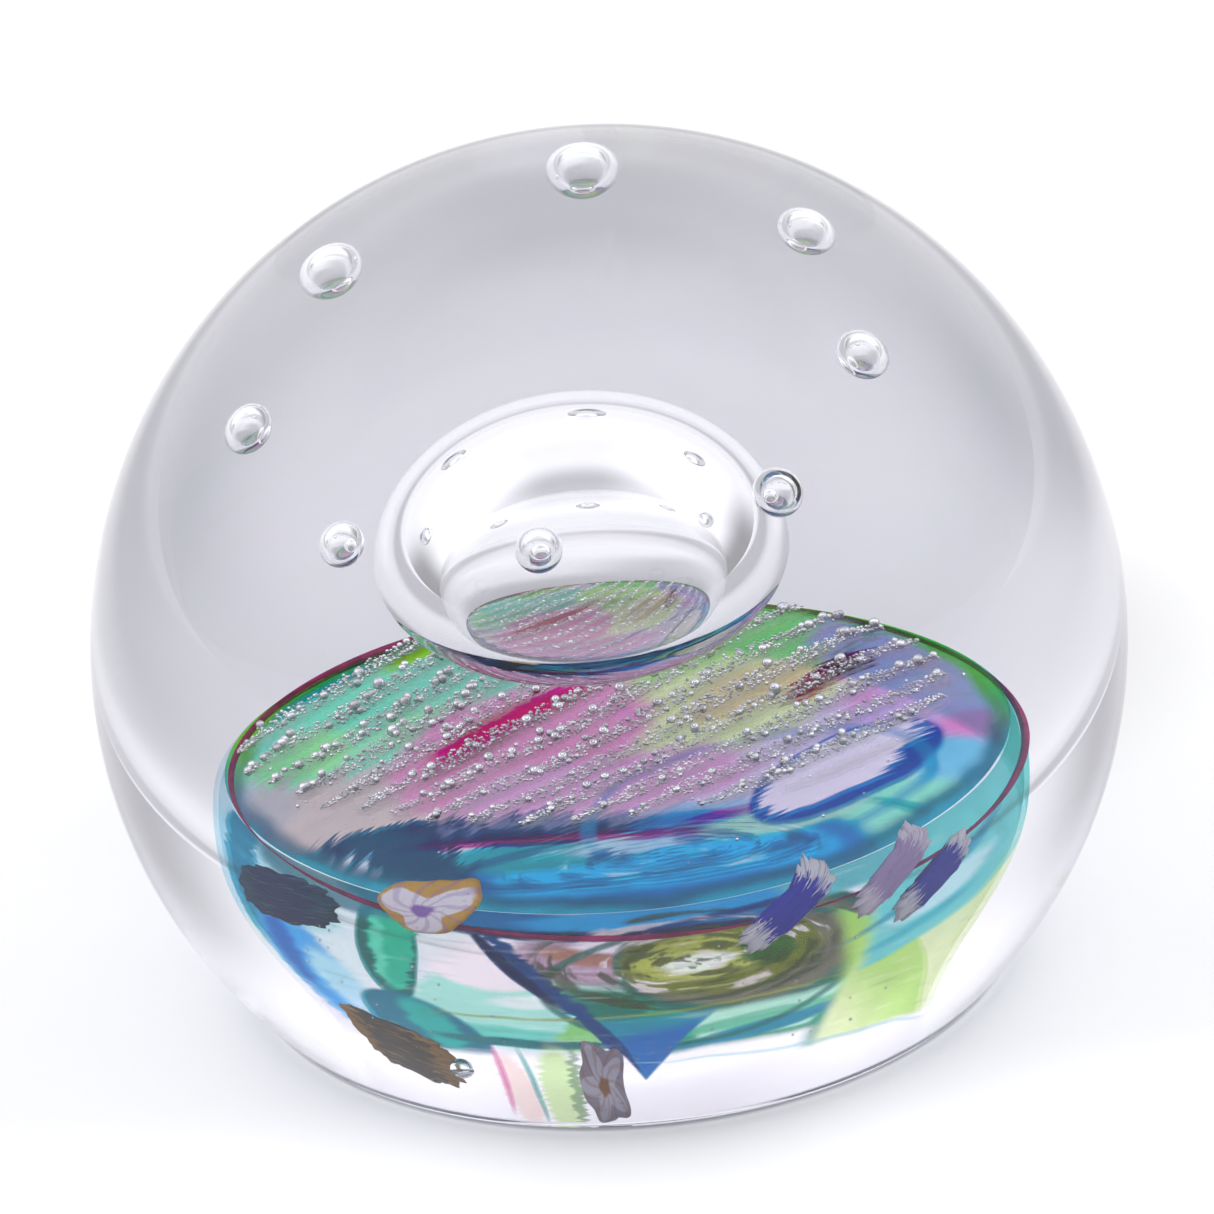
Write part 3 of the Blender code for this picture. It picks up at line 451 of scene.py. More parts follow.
def side_material():
    n = Net("core_side_veils")
    flat = side_coords(n)
    swirl = n.vmath("SUBTRACT", n.noise(flat, 5.0, 2.0, 0.5, True), (0.5, 0.5, 0.5))
    pull = n.math("SUBTRACT", n.noise(n.vmath("MULTIPLY", flat, (9.0, 130.0, 0)), 1.0, 2.0, 0.6), 0.5)
    drag = n.node("ShaderNodeCombineXYZ", n.math("MULTIPLY", pull, 0.055), 0.0, 0.0)
    calm = n.vmath("ADD", flat, n.vmath("MULTIPLY", swirl, (0.030, 0.020, 0)))
    p = n.vmath("ADD", calm, drag)

    def spot(at, z, *shape, soft=0.25, on=p):
        return oval(n, on, bearing(at), z, *shape, soft=soft)

    def ring(at, z, a, b, turn, width, on=calm):
        return loop(n, on, bearing(at), z, a, b, turn, width)

    def left(at, z, turn, soft=0.006):
        return side_of(n, calm, bearing(at), z, turn, soft)

    strokes = [
        # back and far sides
        (spot(150, -0.34, 0.42, 0.13), 1, (0.84, 0.91, 0.97)),
        (spot(-140, -0.34, 0.36, 0.13), 1, (0.82, 0.95, 0.93)),
        (spot(118, -0.26, 0.20, 0.05), 0.9, (0.88, 0.80, 0.94)),
        (spot(-112, -0.29, 0.22, 0.07), 0.9, (0.60, 0.84, 0.93)),
        # left: sky and blue
        (spot(-78, -0.25, 0.16, 0.05, -8), 1, (0.66, 0.84, 0.90)),
        (spot(-88, -0.24, 0.05, 0.12), 1, (0.00, 0.36, 0.52)),
        (spot(-74, -0.37, 0.11, 0.085, -20), 1, (0.08, 0.48, 0.88)),
        (spot(-80, -0.35, 0.035, 0.060, -24, soft=0.5), 1, (0.01, 0.22, 0.62)),
        (spot(-66, -0.38, 0.06, 0.05, -10, soft=0.6), 0.9, (0.66, 0.88, 0.97)),
        # mint and lavender windows
        (spot(-26, -0.385, 0.165, 0.075, 0), 1, (0.50, 0.86, 0.76)),
        (spot(-29, -0.285, 0.10, 0.055, -10), 1, (0.96, 0.90, 0.92)),
        (spot(-20, -0.36, 0.07, 0.014, 4, soft=0.6), 0.7, (0.95, 0.97, 0.96)),
        (spot(-30, -0.430, 0.13, 0.016, -2, soft=0.6), 0.8, (0.10, 0.66, 0.56)),
        (spot(-13, -0.425, 0.055, 0.028, 30, soft=0.4), 0.9, (0.32, 0.70, 0.22)),
        # teal fold, pinched in the middle
        (spot(-47.5, -0.285, 0.050, 0.105, -14, soft=0.08, on=calm), 1, (0.00, 0.20, 0.20)),
        (spot(-46.5, -0.280, 0.038, 0.090, -16, soft=0.15), 1, (0.01, 0.58, 0.40)),
        (spot(-49.5, -0.29, 0.012, 0.070, -14, soft=0.5), 0.6, (0.26, 0.84, 0.66)),
        (spot(-50, -0.445, 0.115, 0.072, -10, soft=0.08, on=calm), 1, (0.00, 0.24, 0.34)),
        (spot(-47, -0.425, 0.050, 0.042, -30, soft=0.4), 0.9, (0.01, 0.52, 0.46)),
        # the middle: lavender and brown hair, green, then the olive eddy
        (spot(-6, -0.285, 0.13, 0.048, -6), 1, (0.54, 0.40, 0.50)),
        (spot(-10, -0.275, 0.055, 0.016, -12, soft=0.5), 0.9, (0.46, 0.24, 0.16)),
        (spot(-4, -0.255, 0.060, 0.016, 0, soft=0.5), 0.9, (0.92, 0.88, 0.94)),
        (both(n, left(-22, -0.30, -50), left(0, -0.330, 180, 0.02), left(46, -0.40, 90, 0.02)), 1,
         (0.00, 0.40, 0.27)),
        (spot(-6, -0.370, 0.060, 0.030, -10), 1, (0.00, 0.24, 0.18)),
        (spot(22, -0.31, 0.21, 0.105, -6, soft=0.06, on=calm), 1, (0.00, 0.20, 0.17)),
        (spot(21, -0.305, 0.19, 0.090, -6, soft=0.15), 1, (0.24, 0.24, 0.18)),
        (spot(16, -0.300, 0.15, 0.068, -4, soft=0.2), 1, (0.22, 0.26, 0.03)),
        (spot(12, -0.295, 0.105, 0.040, -2, soft=0.3), 1, (0.50, 0.54, 0.14)),
        (spot(11, -0.305, 0.050, 0.016, 2, soft=0.5), 1, (0.86, 0.92, 0.80)),
        (spot(24, -0.300, 0.045, 0.030, -20, soft=0.4), 1, (0.04, 0.18, 0.02)),
        # pale belt and the dark bottom line
        (both(n, left(8, -0.402, 180, 0.008), left(8, -0.462, 0, 0.004), left(12, -0.44, -62, 0.01),
              left(44, -0.42, 60, 0.01)), 1, (0.56, 0.88, 0.72)),
        (spot(26, -0.432, 0.15, 0.012, 2, soft=0.5), 0.8, (0.08, 0.56, 0.36)),
        (spot(27, -0.452, 0.165, 0.013, 5, soft=0.3, on=calm), 1, (0.00, 0.34, 0.46)),
        (ring(14, -0.345, 0.252, 0.112, 0, 0.035), 0.9, (0.00, 0.22, 0.20)),
        (spot(-25, -0.447, 0.19, 0.009, -1, soft=0.4, on=calm), 1, (0.00, 0.24, 0.26)),
        (spot(0, -0.392, 0.36, 0.003, 1, soft=0.5, on=calm), 0.8, (0.36, 0.44, 0.08)),
        # right: turquoise over lime
        (both(n, left(45, -0.335, -90, 0.02), left(60, -0.505, 0, 0.010), left(105, -0.40, 90, 0.05)), 1,
         (0.84, 0.93, 0.58)),
        (both(n, left(50, -0.320, 150, 0.002), left(43, -0.40, -75, 0.02), left(60, -0.505, 0, 0.010),
              left(52, -0.44, -30, 0.06)), 0.9, (0.55, 0.82, 0.22)),
        (both(n, left(60, -0.378, 8, 0.003), left(46, -0.30, -80, 0.02)), 1, (0.24, 0.72, 0.70)),
        (spot(66, -0.31, 0.12, 0.020, 8, soft=0.6), 0.7, (0.80, 0.94, 0.94)),
        (spot(62, -0.345, 0.12, 0.008, 8, soft=0.6), 0.8, (0.04, 0.56, 0.62)),
        (spot(58, -0.300, 0.14, 0.006, 12, soft=0.6), 0.8, (0.02, 0.40, 0.50)),
        (spot(72, -0.270, 0.10, 0.007, 16, soft=0.6), 0.8, (0.02, 0.36, 0.56)),
        # the blue wedge and its dark diagonal
        (both(n, left(-12, -0.40, -52, 0.003), left(6, -0.472, 44, 0.003),
              left(0, -0.400, 180, 0.015)), 1, (0.00, 0.34, 0.46)),
        (both(n, left(-9, -0.43, -50, 0.003), left(6, -0.472, 44, 0.003),
              left(0, -0.430, 188, 0.012)), 0.9, (0.00, 0.18, 0.52)),
        (spot(-18.5, -0.318, 0.125, 0.016, -53, soft=0.35), 1, (0.00, 0.08, 0.26)),
        (spot(-23.0, -0.300, 0.090, 0.010, -51, soft=0.35, on=calm), 1, (0.00, 0.02, 0.12)),
        (spot(-7.5, -0.440, 0.090, 0.014, -57, soft=0.3, on=calm), 1, (0.00, 0.08, 0.26)),
        # the rim above the thread carries on the swirl of the top
        (spot(0, -0.200, 0.46, 0.048, 0, soft=0.1, on=calm), 1, (0.00, 0.24, 0.50)),
        (spot(-62, -0.215, 0.16, 0.030, -4, soft=0.3), 0.9, (0.00, 0.26, 0.36)),
        (spot(8, -0.212, 0.22, 0.018, 2, soft=0.4), 1, (0.02, 0.46, 0.78)),
        (spot(20, -0.228, 0.24, 0.005, 3, soft=0.5), 0.9, (0.00, 0.08, 0.30)),
        (spot(44, -0.210, 0.13, 0.034, 0, soft=0.3), 1, (0.22, 0.64, 0.66)),
        (spot(-10, -0.240, 0.30, 0.008, -2, soft=0.5, on=calm), 1, (0.02, 0.03, 0.16)),
    ]
    tint = paint(n, p, strokes, (0.90, 0.90, 0.95))
    tint = eddy(n, calm, bearing(10), -0.302, 0.245, 0.095, -5, tint,
                (0.06, 0.10, 0.03), (0.80, 0.74, 0.74), 8.0)
    level = n.node("ShaderNodeSeparateXYZ", calm).outputs[1]
    low = n.ramp(level, -0.478, -0.464, 1.0, 0.0)
    wedge = both(n, left(-12, -0.40, -52, 0.003), left(6, -0.472, 44, 0.003))
    clear = n.math("MULTIPLY", low, n.math("SUBTRACT", 1.0, wedge))
    lime = both(n, left(42, -0.48, -90, 0.03), left(60, -0.505, 0, 0.006))
    clear = n.math("MULTIPLY", clear, n.math("SUBTRACT", 1.0, lime))
    tint = n.mix(tint, (0.96, 0.95, 0.97), clear)
    wisps = [
        (spot(-33, -0.54, 0.036, 0.07, 10, soft=0.4), 0.8, (0.90, 0.72, 0.66)),
        (spot(-36.5, -0.515, 0.006, 0.065, -6, soft=0.5, on=calm), 0.9, (0.70, 0.20, 0.44)),
        (spot(-28.5, -0.53, 0.005, 0.075, 3, soft=0.5, on=calm), 0.9, (0.10, 0.44, 0.42)),
        (spot(-22, -0.54, 0.040, 0.085, -4, soft=0.4), 0.9, (0.66, 0.84, 0.44)),
        (spot(-18, -0.54, 0.012, 0.085, -5, soft=0.6), 0.8, (0.20, 0.36, 0.20)),
        (spot(50, -0.500, 0.40, 0.003, -2, soft=0.5, on=calm), 0.6, (0.45, 0.70, 0.74)),
    ]
    tint = paint(n, p, wisps, tint)
    hair = n.noise(n.vmath("MULTIPLY", flat, (5.0, 110.0, 0)), 1.0, 2.0, 0.6)
    coloured = n.math("SUBTRACT", 1.0, clear)
    dark_hair = n.math("MULTIPLY", n.ramp(hair, 0.58, 0.76, 0.0, 0.35), coloured)
    tint = n.mix(tint, (0.10, 0.20, 0.24), dark_hair)
    tint = n.mix(tint, (0.97, 0.98, 0.99), n.ramp(hair, 0.42, 0.28, 0.0, 0.22))
    tint = n.node("ShaderNodeGamma", tint, 1.25).outputs[0]
    milk = n.ramp(n.noise(flat, 8.0, 3.0, 0.6), 0.3, 0.8, 0.05, 0.13)
    away = n.math("ABSOLUTE", n.node("ShaderNodeSeparateXYZ", flat).outputs[0])
    milk = n.math("MULTIPLY", milk, n.ramp(away, bearing(80), bearing(115), 1.0, 0.15))
    milk = n.math("MULTIPLY", milk, n.ramp(clear, 0.0, 1.0, 1.0, 0.12))
    return n.done(veil_shader(n, tint, milk, tint))


def tinted_material(name, colour, milk=0.1):
    n = Net(name)
    co = n.object_coords()
    mottle = n.noise(co, 700.0, 2.0, 0.6)
    dark = tuple(c * 0.55 for c in colour)
    tint = n.mix(colour, dark, n.ramp(mottle, 0.35, 0.7))
    return n.done(veil_shader(n, tint, milk, tint))


def foam_material():
    """Air beads in glass: bright where they face the eye, with painted shade at their edges."""
    n = Net("foamed_glass_beads")
    tone = n.noise(n.object_coords(), 1600.0, 1.0, 0.5)
    silver = n.mix((1.0, 1.0, 1.0), (0.58, 0.58, 0.60), n.ramp(tone, 0.35, 0.65))
    bright = n.node("ShaderNodeBsdfGlossy", silver, 0.10)
    # painted shade: a dark grey diffuse takes over towards each bead's edge
    dark = n.node("ShaderNodeBsdfDiffuse", (0.40, 0.40, 0.40))
    rim = n.node("ShaderNodeLayerWeight", 0.42)
    share = n.ramp(rim.outputs["Facing"], 0.22, 0.72, 0.0, 1.0)
    return n.done(n.node("ShaderNodeMixShader", share, bright, dark))


# ---------------------------------------------------------------- glass body with its bubbles
def append(verts, faces, more_v, more_f, inside_out=False):
    base = len(verts)
    verts.extend(more_v)
    for f in more_f:
        f = tuple(i + base for i in f)
        faces.append(f[::-1] if inside_out else f)


# the hand-pricked ring: bearing in plan, distance out, height over the equator, width
RING = (
    (88, 0.450, 0.402, 0.089),
    (43, 0.420, 0.439, 0.082),
    (-3, 0.412, 0.453, 0.084),
    (-53, 0.480, 0.437, 0.084),
    (-103, 0.434, 0.387, 0.076),
    (-145, 0.486, 0.349, 0.075),
    (170, 0.487, 0.339, 0.078),
    (130, 0.474, 0.361, 0.085),
)


# the large bubble, in sphere radii
BUBBLE_RADIUS = 0.272
BUBBLE_RISE = 0.190
BUBBLE_DROP = 0.128
BUBBLE_LEVEL = 0.124
BUBBLE_SHIFT = -0.026
SEED_COUNT = 90


def spot_tilt(spot):
    """A small bubble lies flat on the gather it was pricked into."""
    up = (spot - Vector((0, 0, EQUATOR - 0.6 * R))).normalized()
    return up.to_track_quat("Z", "Y").to_matrix()


def build_body():
    drop = math.degrees(math.asin(EQUATOR / LOWER_DEPTH))
    upper = arc(R, R, EQUATOR, 90, 0, 64)
    lower = arc(R, LOWER_DEPTH, EQUATOR, 0, -drop, 36)
    edge = lower[-1][0]
    soft = 0.0006
    # a small round edge where the foot is ground flat
    lower = [p for p in lower if p[1] > soft * 1.2]
    lower += [(edge + soft * 0.60, soft * 0.62), (edge + soft * 0.28, soft * 0.16),
              (edge - soft * 0.4, 0.0)]
    verts, faces = lathe_data(upper + lower[1:] + [(edge * 0.5, 0.0), (0.0, 0.0)], 160)
    verts = list(verts)
    centre = Vector((BUBBLE_SHIFT * R, 0.0, EQUATOR + BUBBLE_LEVEL * R))
    shape = arc(BUBBLE_RADIUS * R, BUBBLE_RISE * R, 0.0, 90, 0, 90)
    shape += arc(BUBBLE_RADIUS * R, BUBBLE_DROP * R, 0.0, 0, -90, 70)[1:]
    bv, bf = lathe_data(shape, 256)
    append(verts, faces, [v + centre for v in bv], bf, True)
    unit, tris = ico(4)
    for turn, reach, rise, size in RING:
        a = math.radians(turn)
        spot = Vector((reach * math.cos(a), reach * math.sin(a), rise)) * R + Vector((0, 0, EQUATOR))
        tilt = spot_tilt(spot)
        half = Vector((size, size, size * 0.92)) * R / 2
        bv = [spot + tilt @ Vector((u[0] * half.x, u[1] * half.y, u[2] * half.z)) for u in unit]
        append(verts, faces, bv, tris, True)
    # one stray bubble by the foot, then seeds over the core
    spot = side_point(-43, EQUATOR - 0.495 * R, 0.035 * R)
    append(verts, faces, [spot + Vector(u) * 0.0175 * R for u in unit], tris, True)
    unit, tris = ico(1)
    for _ in range(SEED_COUNT):
        size = R * (0.0016 + 0.0016 * rng.random())
        if rng.random() < 0.5:
            spot = side_point(-70 + 130 * rng.random(),
                              EQUATOR - (0.26 + 0.22 * rng.random()) * R, 0.012 * R)
        else:
            a, reach = math.tau * rng.random(), CORE_R * 0.9 * math.sqrt(rng.random())
            x, y = reach * math.cos(a), reach * math.sin(a)
            spot = Vector((x, y, core_top_z(x, y) + 0.016 * R))
        append(verts, faces, [spot + Vector(u) * size for u in unit], tris, True)
    body = new_object("clear_glass_body", verts, faces)
    body.data.materials.append(glass_body_material())
    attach(body, "root")
    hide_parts("outer_clear_gather", "middle_clear_gather", "inner_clear_gather", "core_gather")
    return body


# ---------------------------------------------------------------- colour jacket
THICK = 0.00025


def jacket(name, outside, steps=192):
    """A thin closed shell whose outer line is given from top to bottom."""
    inside = []
    for i, (r, z) in enumerate(outside):
        a = Vector(outside[max(0, i - 1)])
        b = Vector(outside[min(len(outside) - 1, i + 1)])
        run = (b - a).normalized()
        nx, nz = (-run.y, run.x) if i else (0.0, 1.0)
        if outside[0][0] > 0 and i == 0:
            nx, nz = -run.y, run.x
        inside.append((max(0.0, r - nx * THICK), z - nz * THICK))
    closed = outside + inside[::-1]
    if outside[0][0] > 0:
        closed = closed + [outside[0]]
    verts, faces = lathe_data(closed, steps)
    return new_object(name, verts, faces)


def build_jacket():
    rise = CORE_TOP - SHOULDER
    line = arc(CORE_R, rise, SHOULDER, 90, 0, 90, DOME_POWER)
    split = next(i for i, p in enumerate(line) if p[0] > 0.975 * CORE_R)
    top = jacket("core_top_veils", line[:split + 1])
    top.data.materials.append(top_material())
    names = sorted(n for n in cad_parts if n.startswith("veil_"))
    tops = [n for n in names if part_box(n)[1].z > SHOULDER + 0.0015]
    sides = [n for n in names if n not in tops]
    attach(top, "root")
    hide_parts(*tops)
    side_line = line[split + 2:] + s_curve((CORE_R, SHOULDER), (CORE_FOOT_R, 0.0), 60)
    side_line = [p for p in side_line if p[1] > 0.0010]
    side = jacket("core_side_veils", side_line)
    side.data.materials.append(side_material())
    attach(side, "root")
    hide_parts(*sides)


# ---------------------------------------------------------------- thread, bands, canes
def hoop(name, points, radii, sides=10):
    """A closed round cord through the points."""
    verts = []
    faces = []
    n = len(points)
    for i, p in enumerate(points):
        run = (points[(i + 1) % n] - points[(i - 1) % n]).normalized()
        up = Vector((0, 0, 1))
        side = run.cross(up).normalized()
        up = side.cross(run)
        for k in range(sides):
            t = math.tau * k / sides
            verts.append(p + (side * math.cos(t) + up * math.sin(t)) * radii[i])
    for i in range(n):
        for k in range(sides):
            j = (i + 1) % n
            m = (k + 1) % sides
            faces.append((i * sides + k, i * sides + m, j * sides + m, j * sides + k))
    return new_object(name, verts, faces)


THREAD_LEVEL = 0.0167
THREAD_LEAN = (-0.04, 0.05)    # the thread's plane sinks to the right and rises to the back


def thread_z(x, y):
    return THREAD_LEVEL + THREAD_LEAN[0] * x + THREAD_LEAN[1] * y


def build_thread():
    points = []
    radii = []
    steps = 240
    for i in range(steps):
        a = math.tau * i / steps
        reach = CORE_R
        for _ in range(6):
            x, y = reach * math.cos(a), reach * math.sin(a)
            z = thread_z(x, y)
            reach = core_side_r(z)
        points.append(Vector((x, y, z)))
        radii.append(0.0040 * R * (0.8 + 0.35 * math.sin(3 * a + 1) + 0.2 * math.sin(7 * a)))
    obj = hoop("ruby_thread_trail", points, radii)
    obj.data.materials.append(tinted_material("ruby_thread_glass", (0.60, 0.03, 0.22), 0.55))
    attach(obj, "root")
    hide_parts("ruby_thread")


def build_bands(material):
    fine, coarse = ico(2), ico(1)
    centre = BAND_CENTRE * R
    mid_x, mid_y, half_x, half_y = BAND_FIELD
    names = sorted(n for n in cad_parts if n.startswith("bubble_band"))
    for number, node in enumerate(names):
        radius = (BAND_FIRST + number * BAND_PITCH) * R
        inside = []
        for step in range(-300, 301):
            t = BAND_TURN + step * 0.001
            x, y = centre.x + radius * math.cos(t), centre.y + radius * math.sin(t)
            if math.hypot((x / R - mid_x) / half_x, (y / R - mid_y) / half_y) < 1.0:
                inside.append(t)
        first = inside[0] - rng.random() * 0.012
        last = inside[-1]
        length = (last - first) * radius
        verts = []
        faces = []
        for k in range(int(length / (0.00066 * R))):
            share = rng.random()
            t = first + (last - first) * share
            taper = min(1.0, 4.0 * share + 0.25, 4.0 * (1 - share) + 0.25)
            wave = 0.005 * math.sin(23 * t + number) + 0.003 * math.sin(61 * t + 2 * number)
            spread = (rng.random() - 0.5) * 0.0320 * R * taper
            size = R * (0.0009 + 0.0016 * rng.random() ** 1.6 + 0.0052 * rng.random() ** 30)
            rr = radius + spread + wave * R
            x, y = centre.x + rr * math.cos(t), centre.y + rr * math.sin(t)
            z = core_top_z(x, y) + size + R * 0.0006 + rng.random() * R * 0.004
            squash = 0.8 + 0.3 * rng.random()
            unit, tris = fine if size > 0.0040 * R else coarse
            pts = [Vector((x + u[0] * size, y + u[1] * size, z + u[2] * size * squash)) for u in unit]
            append(verts, faces, pts, tris)
        obj = new_object(node.replace("bubble_band", "foam_band"), verts, faces)
        obj.data.materials.append(material)
        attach(obj, "root")
        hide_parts(node)


def cane_material(name, kind, outer, petal, heart, petals):
    """A slice of bundled rods: petals round a heart, or combed stripes with ragged ends."""
    n = Net(name)
    uv = n.tree.nodes.new("ShaderNodeUVMap").outputs[0]
    p = n.vmath("SUBTRACT", uv, (0.5, 0.5, 0))
    warp = n.vmath("SUBTRACT", n.noise(n.object_coords(), 900.0, 2.0, 0.5, True), (0.5, 0.5, 0.5))
    p = n.vmath("ADD", p, n.vmath("MULTIPLY", warp, (0.08, 0.08, 0)))
    xy = n.node("ShaderNodeSeparateXYZ", p)
    if kind == "petal":
        a = n.math("ARCTAN2", xy.outputs[1], xy.outputs[0])
        r = n.vmath("LENGTH", p, out=1)
        wave = n.math("SINE", n.math("MULTIPLY", a, float(petals)))
        lobe = n.math("MULTIPLY", n.math("ADD", wave, 1.0), 0.5)
        edge = n.math("ADD", 0.27, n.math("MULTIPLY", lobe, 0.20))
        colour = n.mix(outer, petal, n.ramp(n.math("SUBTRACT", edge, r), -0.02, 0.02))
        twist = n.math("ADD", n.math("MULTIPLY", a, 11.0), n.math("MULTIPLY", r, 16.0))
        folds = n.math("SINE", twist)
        colour = n.mix(colour, heart, n.ramp(folds, 0.2, 0.9, 0.0, 0.35))
        colour = n.mix(colour, heart, n.ramp(r, 0.15, 0.09, 0.0, 1.0))
    else:
        teeth = n.math("SUBTRACT", n.noise(n.vmath("MULTIPLY", p, (2.0, 34.0, 0)), 1.0, 1.5, 0.5), 0.5)
        reach = n.math("ADD", xy.outputs[0], n.math("MULTIPLY", teeth, 0.55))
        colour = n.mix(outer, petal, n.ramp(reach, -0.30, -0.27))
        colour = n.mix(colour, outer, n.ramp(reach, 0.30, 0.33))
        vein = n.noise(n.vmath("MULTIPLY", p, (3.0, 30.0, 0)), 1.0, 1.0, 0.5)
        colour = n.mix(colour, heart, n.ramp(vein, 0.55, 0.7, 0.0, 0.6))
    rods = n.noise(n.object_coords(), 2600.0, 1.0, 0.4)
    colour = n.mix(colour, (0.02, 0.02, 0.05), n.ramp(rods, 0.6, 0.8, 0.0, 0.25))
    cloud = n.node("ShaderNodeBsdfDiffuse", colour)
    glow = n.node("ShaderNodeBsdfTranslucent", colour)
    return n.done(n.node("ShaderNodeMixShader", 0.4, cloud, glow))


# bearing, height, half length, half width, roll, squareness, kind, rim, body, heart, petals
CANES = (
    (-37.5, -0.212, 0.074, 0.034, 6, 2.2, "petal",
     (0.62, 0.36, 0.08), (0.82, 0.78, 0.88), (0.28, 0.16, 0.50), 3),
    (28, -0.243, 0.082, 0.026, 34, 4.0, "comb",
     (0.66, 0.66, 0.72), (0.03, 0.04, 0.42), (0.02, 0.02, 0.20), 2),
    (50, -0.243, 0.078, 0.024, 30, 3.5, "comb",
     (0.62, 0.58, 0.68), (0.36, 0.28, 0.50), (0.24, 0.14, 0.34), 4),
    (60, -0.282, 0.080, 0.024, 24, 3.5, "comb",
     (0.66, 0.66, 0.72), (0.03, 0.05, 0.40), (0.03, 0.03, 0.20), 2),
    (-10, -0.525, 0.080, 0.042, 91, 3.0, "petal",
     (0.46, 0.38, 0.48), (0.76, 0.72, 0.82), (0.36, 0.14, 0.03), 5),
    (-61, -0.475, 0.108, 0.046, -12, 3.5, "comb",
     (0.42, 0.22, 0.04), (0.10, 0.07, 0.05), (0.66, 0.44, 0.14), 6),
    (-71, -0.262, 0.115, 0.036, 8, 2.6, "comb",
     (0.00, 0.05, 0.12), (0.00, 0.02, 0.12), (0.02, 0.16, 0.20), 5),
)


CANE_HALF_THICK = 0.011        # in sphere radii
CANE_PROUD = 0.006


def build_canes():
    for number, cane in enumerate(CANES):
        at, level, half_u, half_v, roll, square, kind, outer, petal, heart, petals = cane
        z = EQUATOR + level * R
        rows = 12
        around = 72
        verts = []
        faces = []
        uvs = []
        turn = math.radians(roll)
        for side in (0, 1):
            for i in range(rows + 1):
                s = i / rows
                for k in range(around):
                    t = math.tau * k / around
                    c, d = math.cos(t), math.sin(t)
                    u = abs(c) ** (2 / square) * math.copysign(1, c)
                    v = abs(d) ** (2 / square) * math.copysign(1, d)
                    if kind == "petal":
                        ragged = 1 + 0.13 * math.sin(petals * t) + 0.02 * math.sin(9 * t)
                    else:
                        ragged = 1 + 0.05 * math.sin(11 * t + number)
                        ragged += 0.04 * math.sin(23 * t + 2 * number)
                    lu, lv = u * s * half_u * ragged, v * s * half_v * ragged
                    du = lu * math.cos(turn) - lv * math.sin(turn)
                    dv = lu * math.sin(turn) + lv * math.cos(turn)
                    dome = (1 - s ** 6) ** 0.5 * CANE_HALF_THICK
                    out = CANE_PROUD + (dome if side == 0 else -dome)
                    # the slice is wrapped round the core
                    across = at + math.degrees(du / SIDE_SCALE)
                    verts.append(side_point(across, z + dv * R, out * R))
                    uvs.append((0.5 + 0.5 * u * s, 0.5 + 0.5 * v * s))
        per = (rows + 1) * around
        for side in (0, 1):
            for i in range(rows):
                for k in range(around):
                    m = (k + 1) % around
                    q = (side * per + i * around + k, side * per + (i + 1) * around + k,
                         side * per + (i + 1) * around + m, side * per + i * around + m)
                    faces.append(q if side == 0 else q[::-1])
        obj = new_object(f"murrine_slice_{number + 1}", verts, faces)
        layer = obj.data.uv_layers.new(name="UVMap")
        for corner in obj.data.loops:
            layer.data[corner.index].uv = uvs[corner.vertex_index]
        bm = bmesh.new()
        bm.from_mesh(obj.data)
        bmesh.ops.remove_doubles(bm, verts=bm.verts, dist=1e-7)
        bm.to_mesh(obj.data)
        bm.free()
        look = cane_material(f"murrine_{number + 1}", kind, outer, petal, heart, petals)
        obj.data.materials.append(look)
        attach(obj, "root")
        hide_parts(f"millefiori_cane_{number + 1}")


# ---------------------------------------------------------------- stage
FLOOR_HALF = 6.0               # metres
FLOOR_GAP = 0.0003
IMAGE = 1214.0                 # the picture's width and height
BALL_RADIUS = 518.2            # the ball's radius and centre in the picture
BALL_CENTRE = (608.9, 642.0)
CAMERA_DISTANCE = 15.0         # in sphere radii
CAMERA_ELEVATION = math.radians(27.0)
CAMERA_ROLL = math.radians(4.8)
SENSOR = 36.0


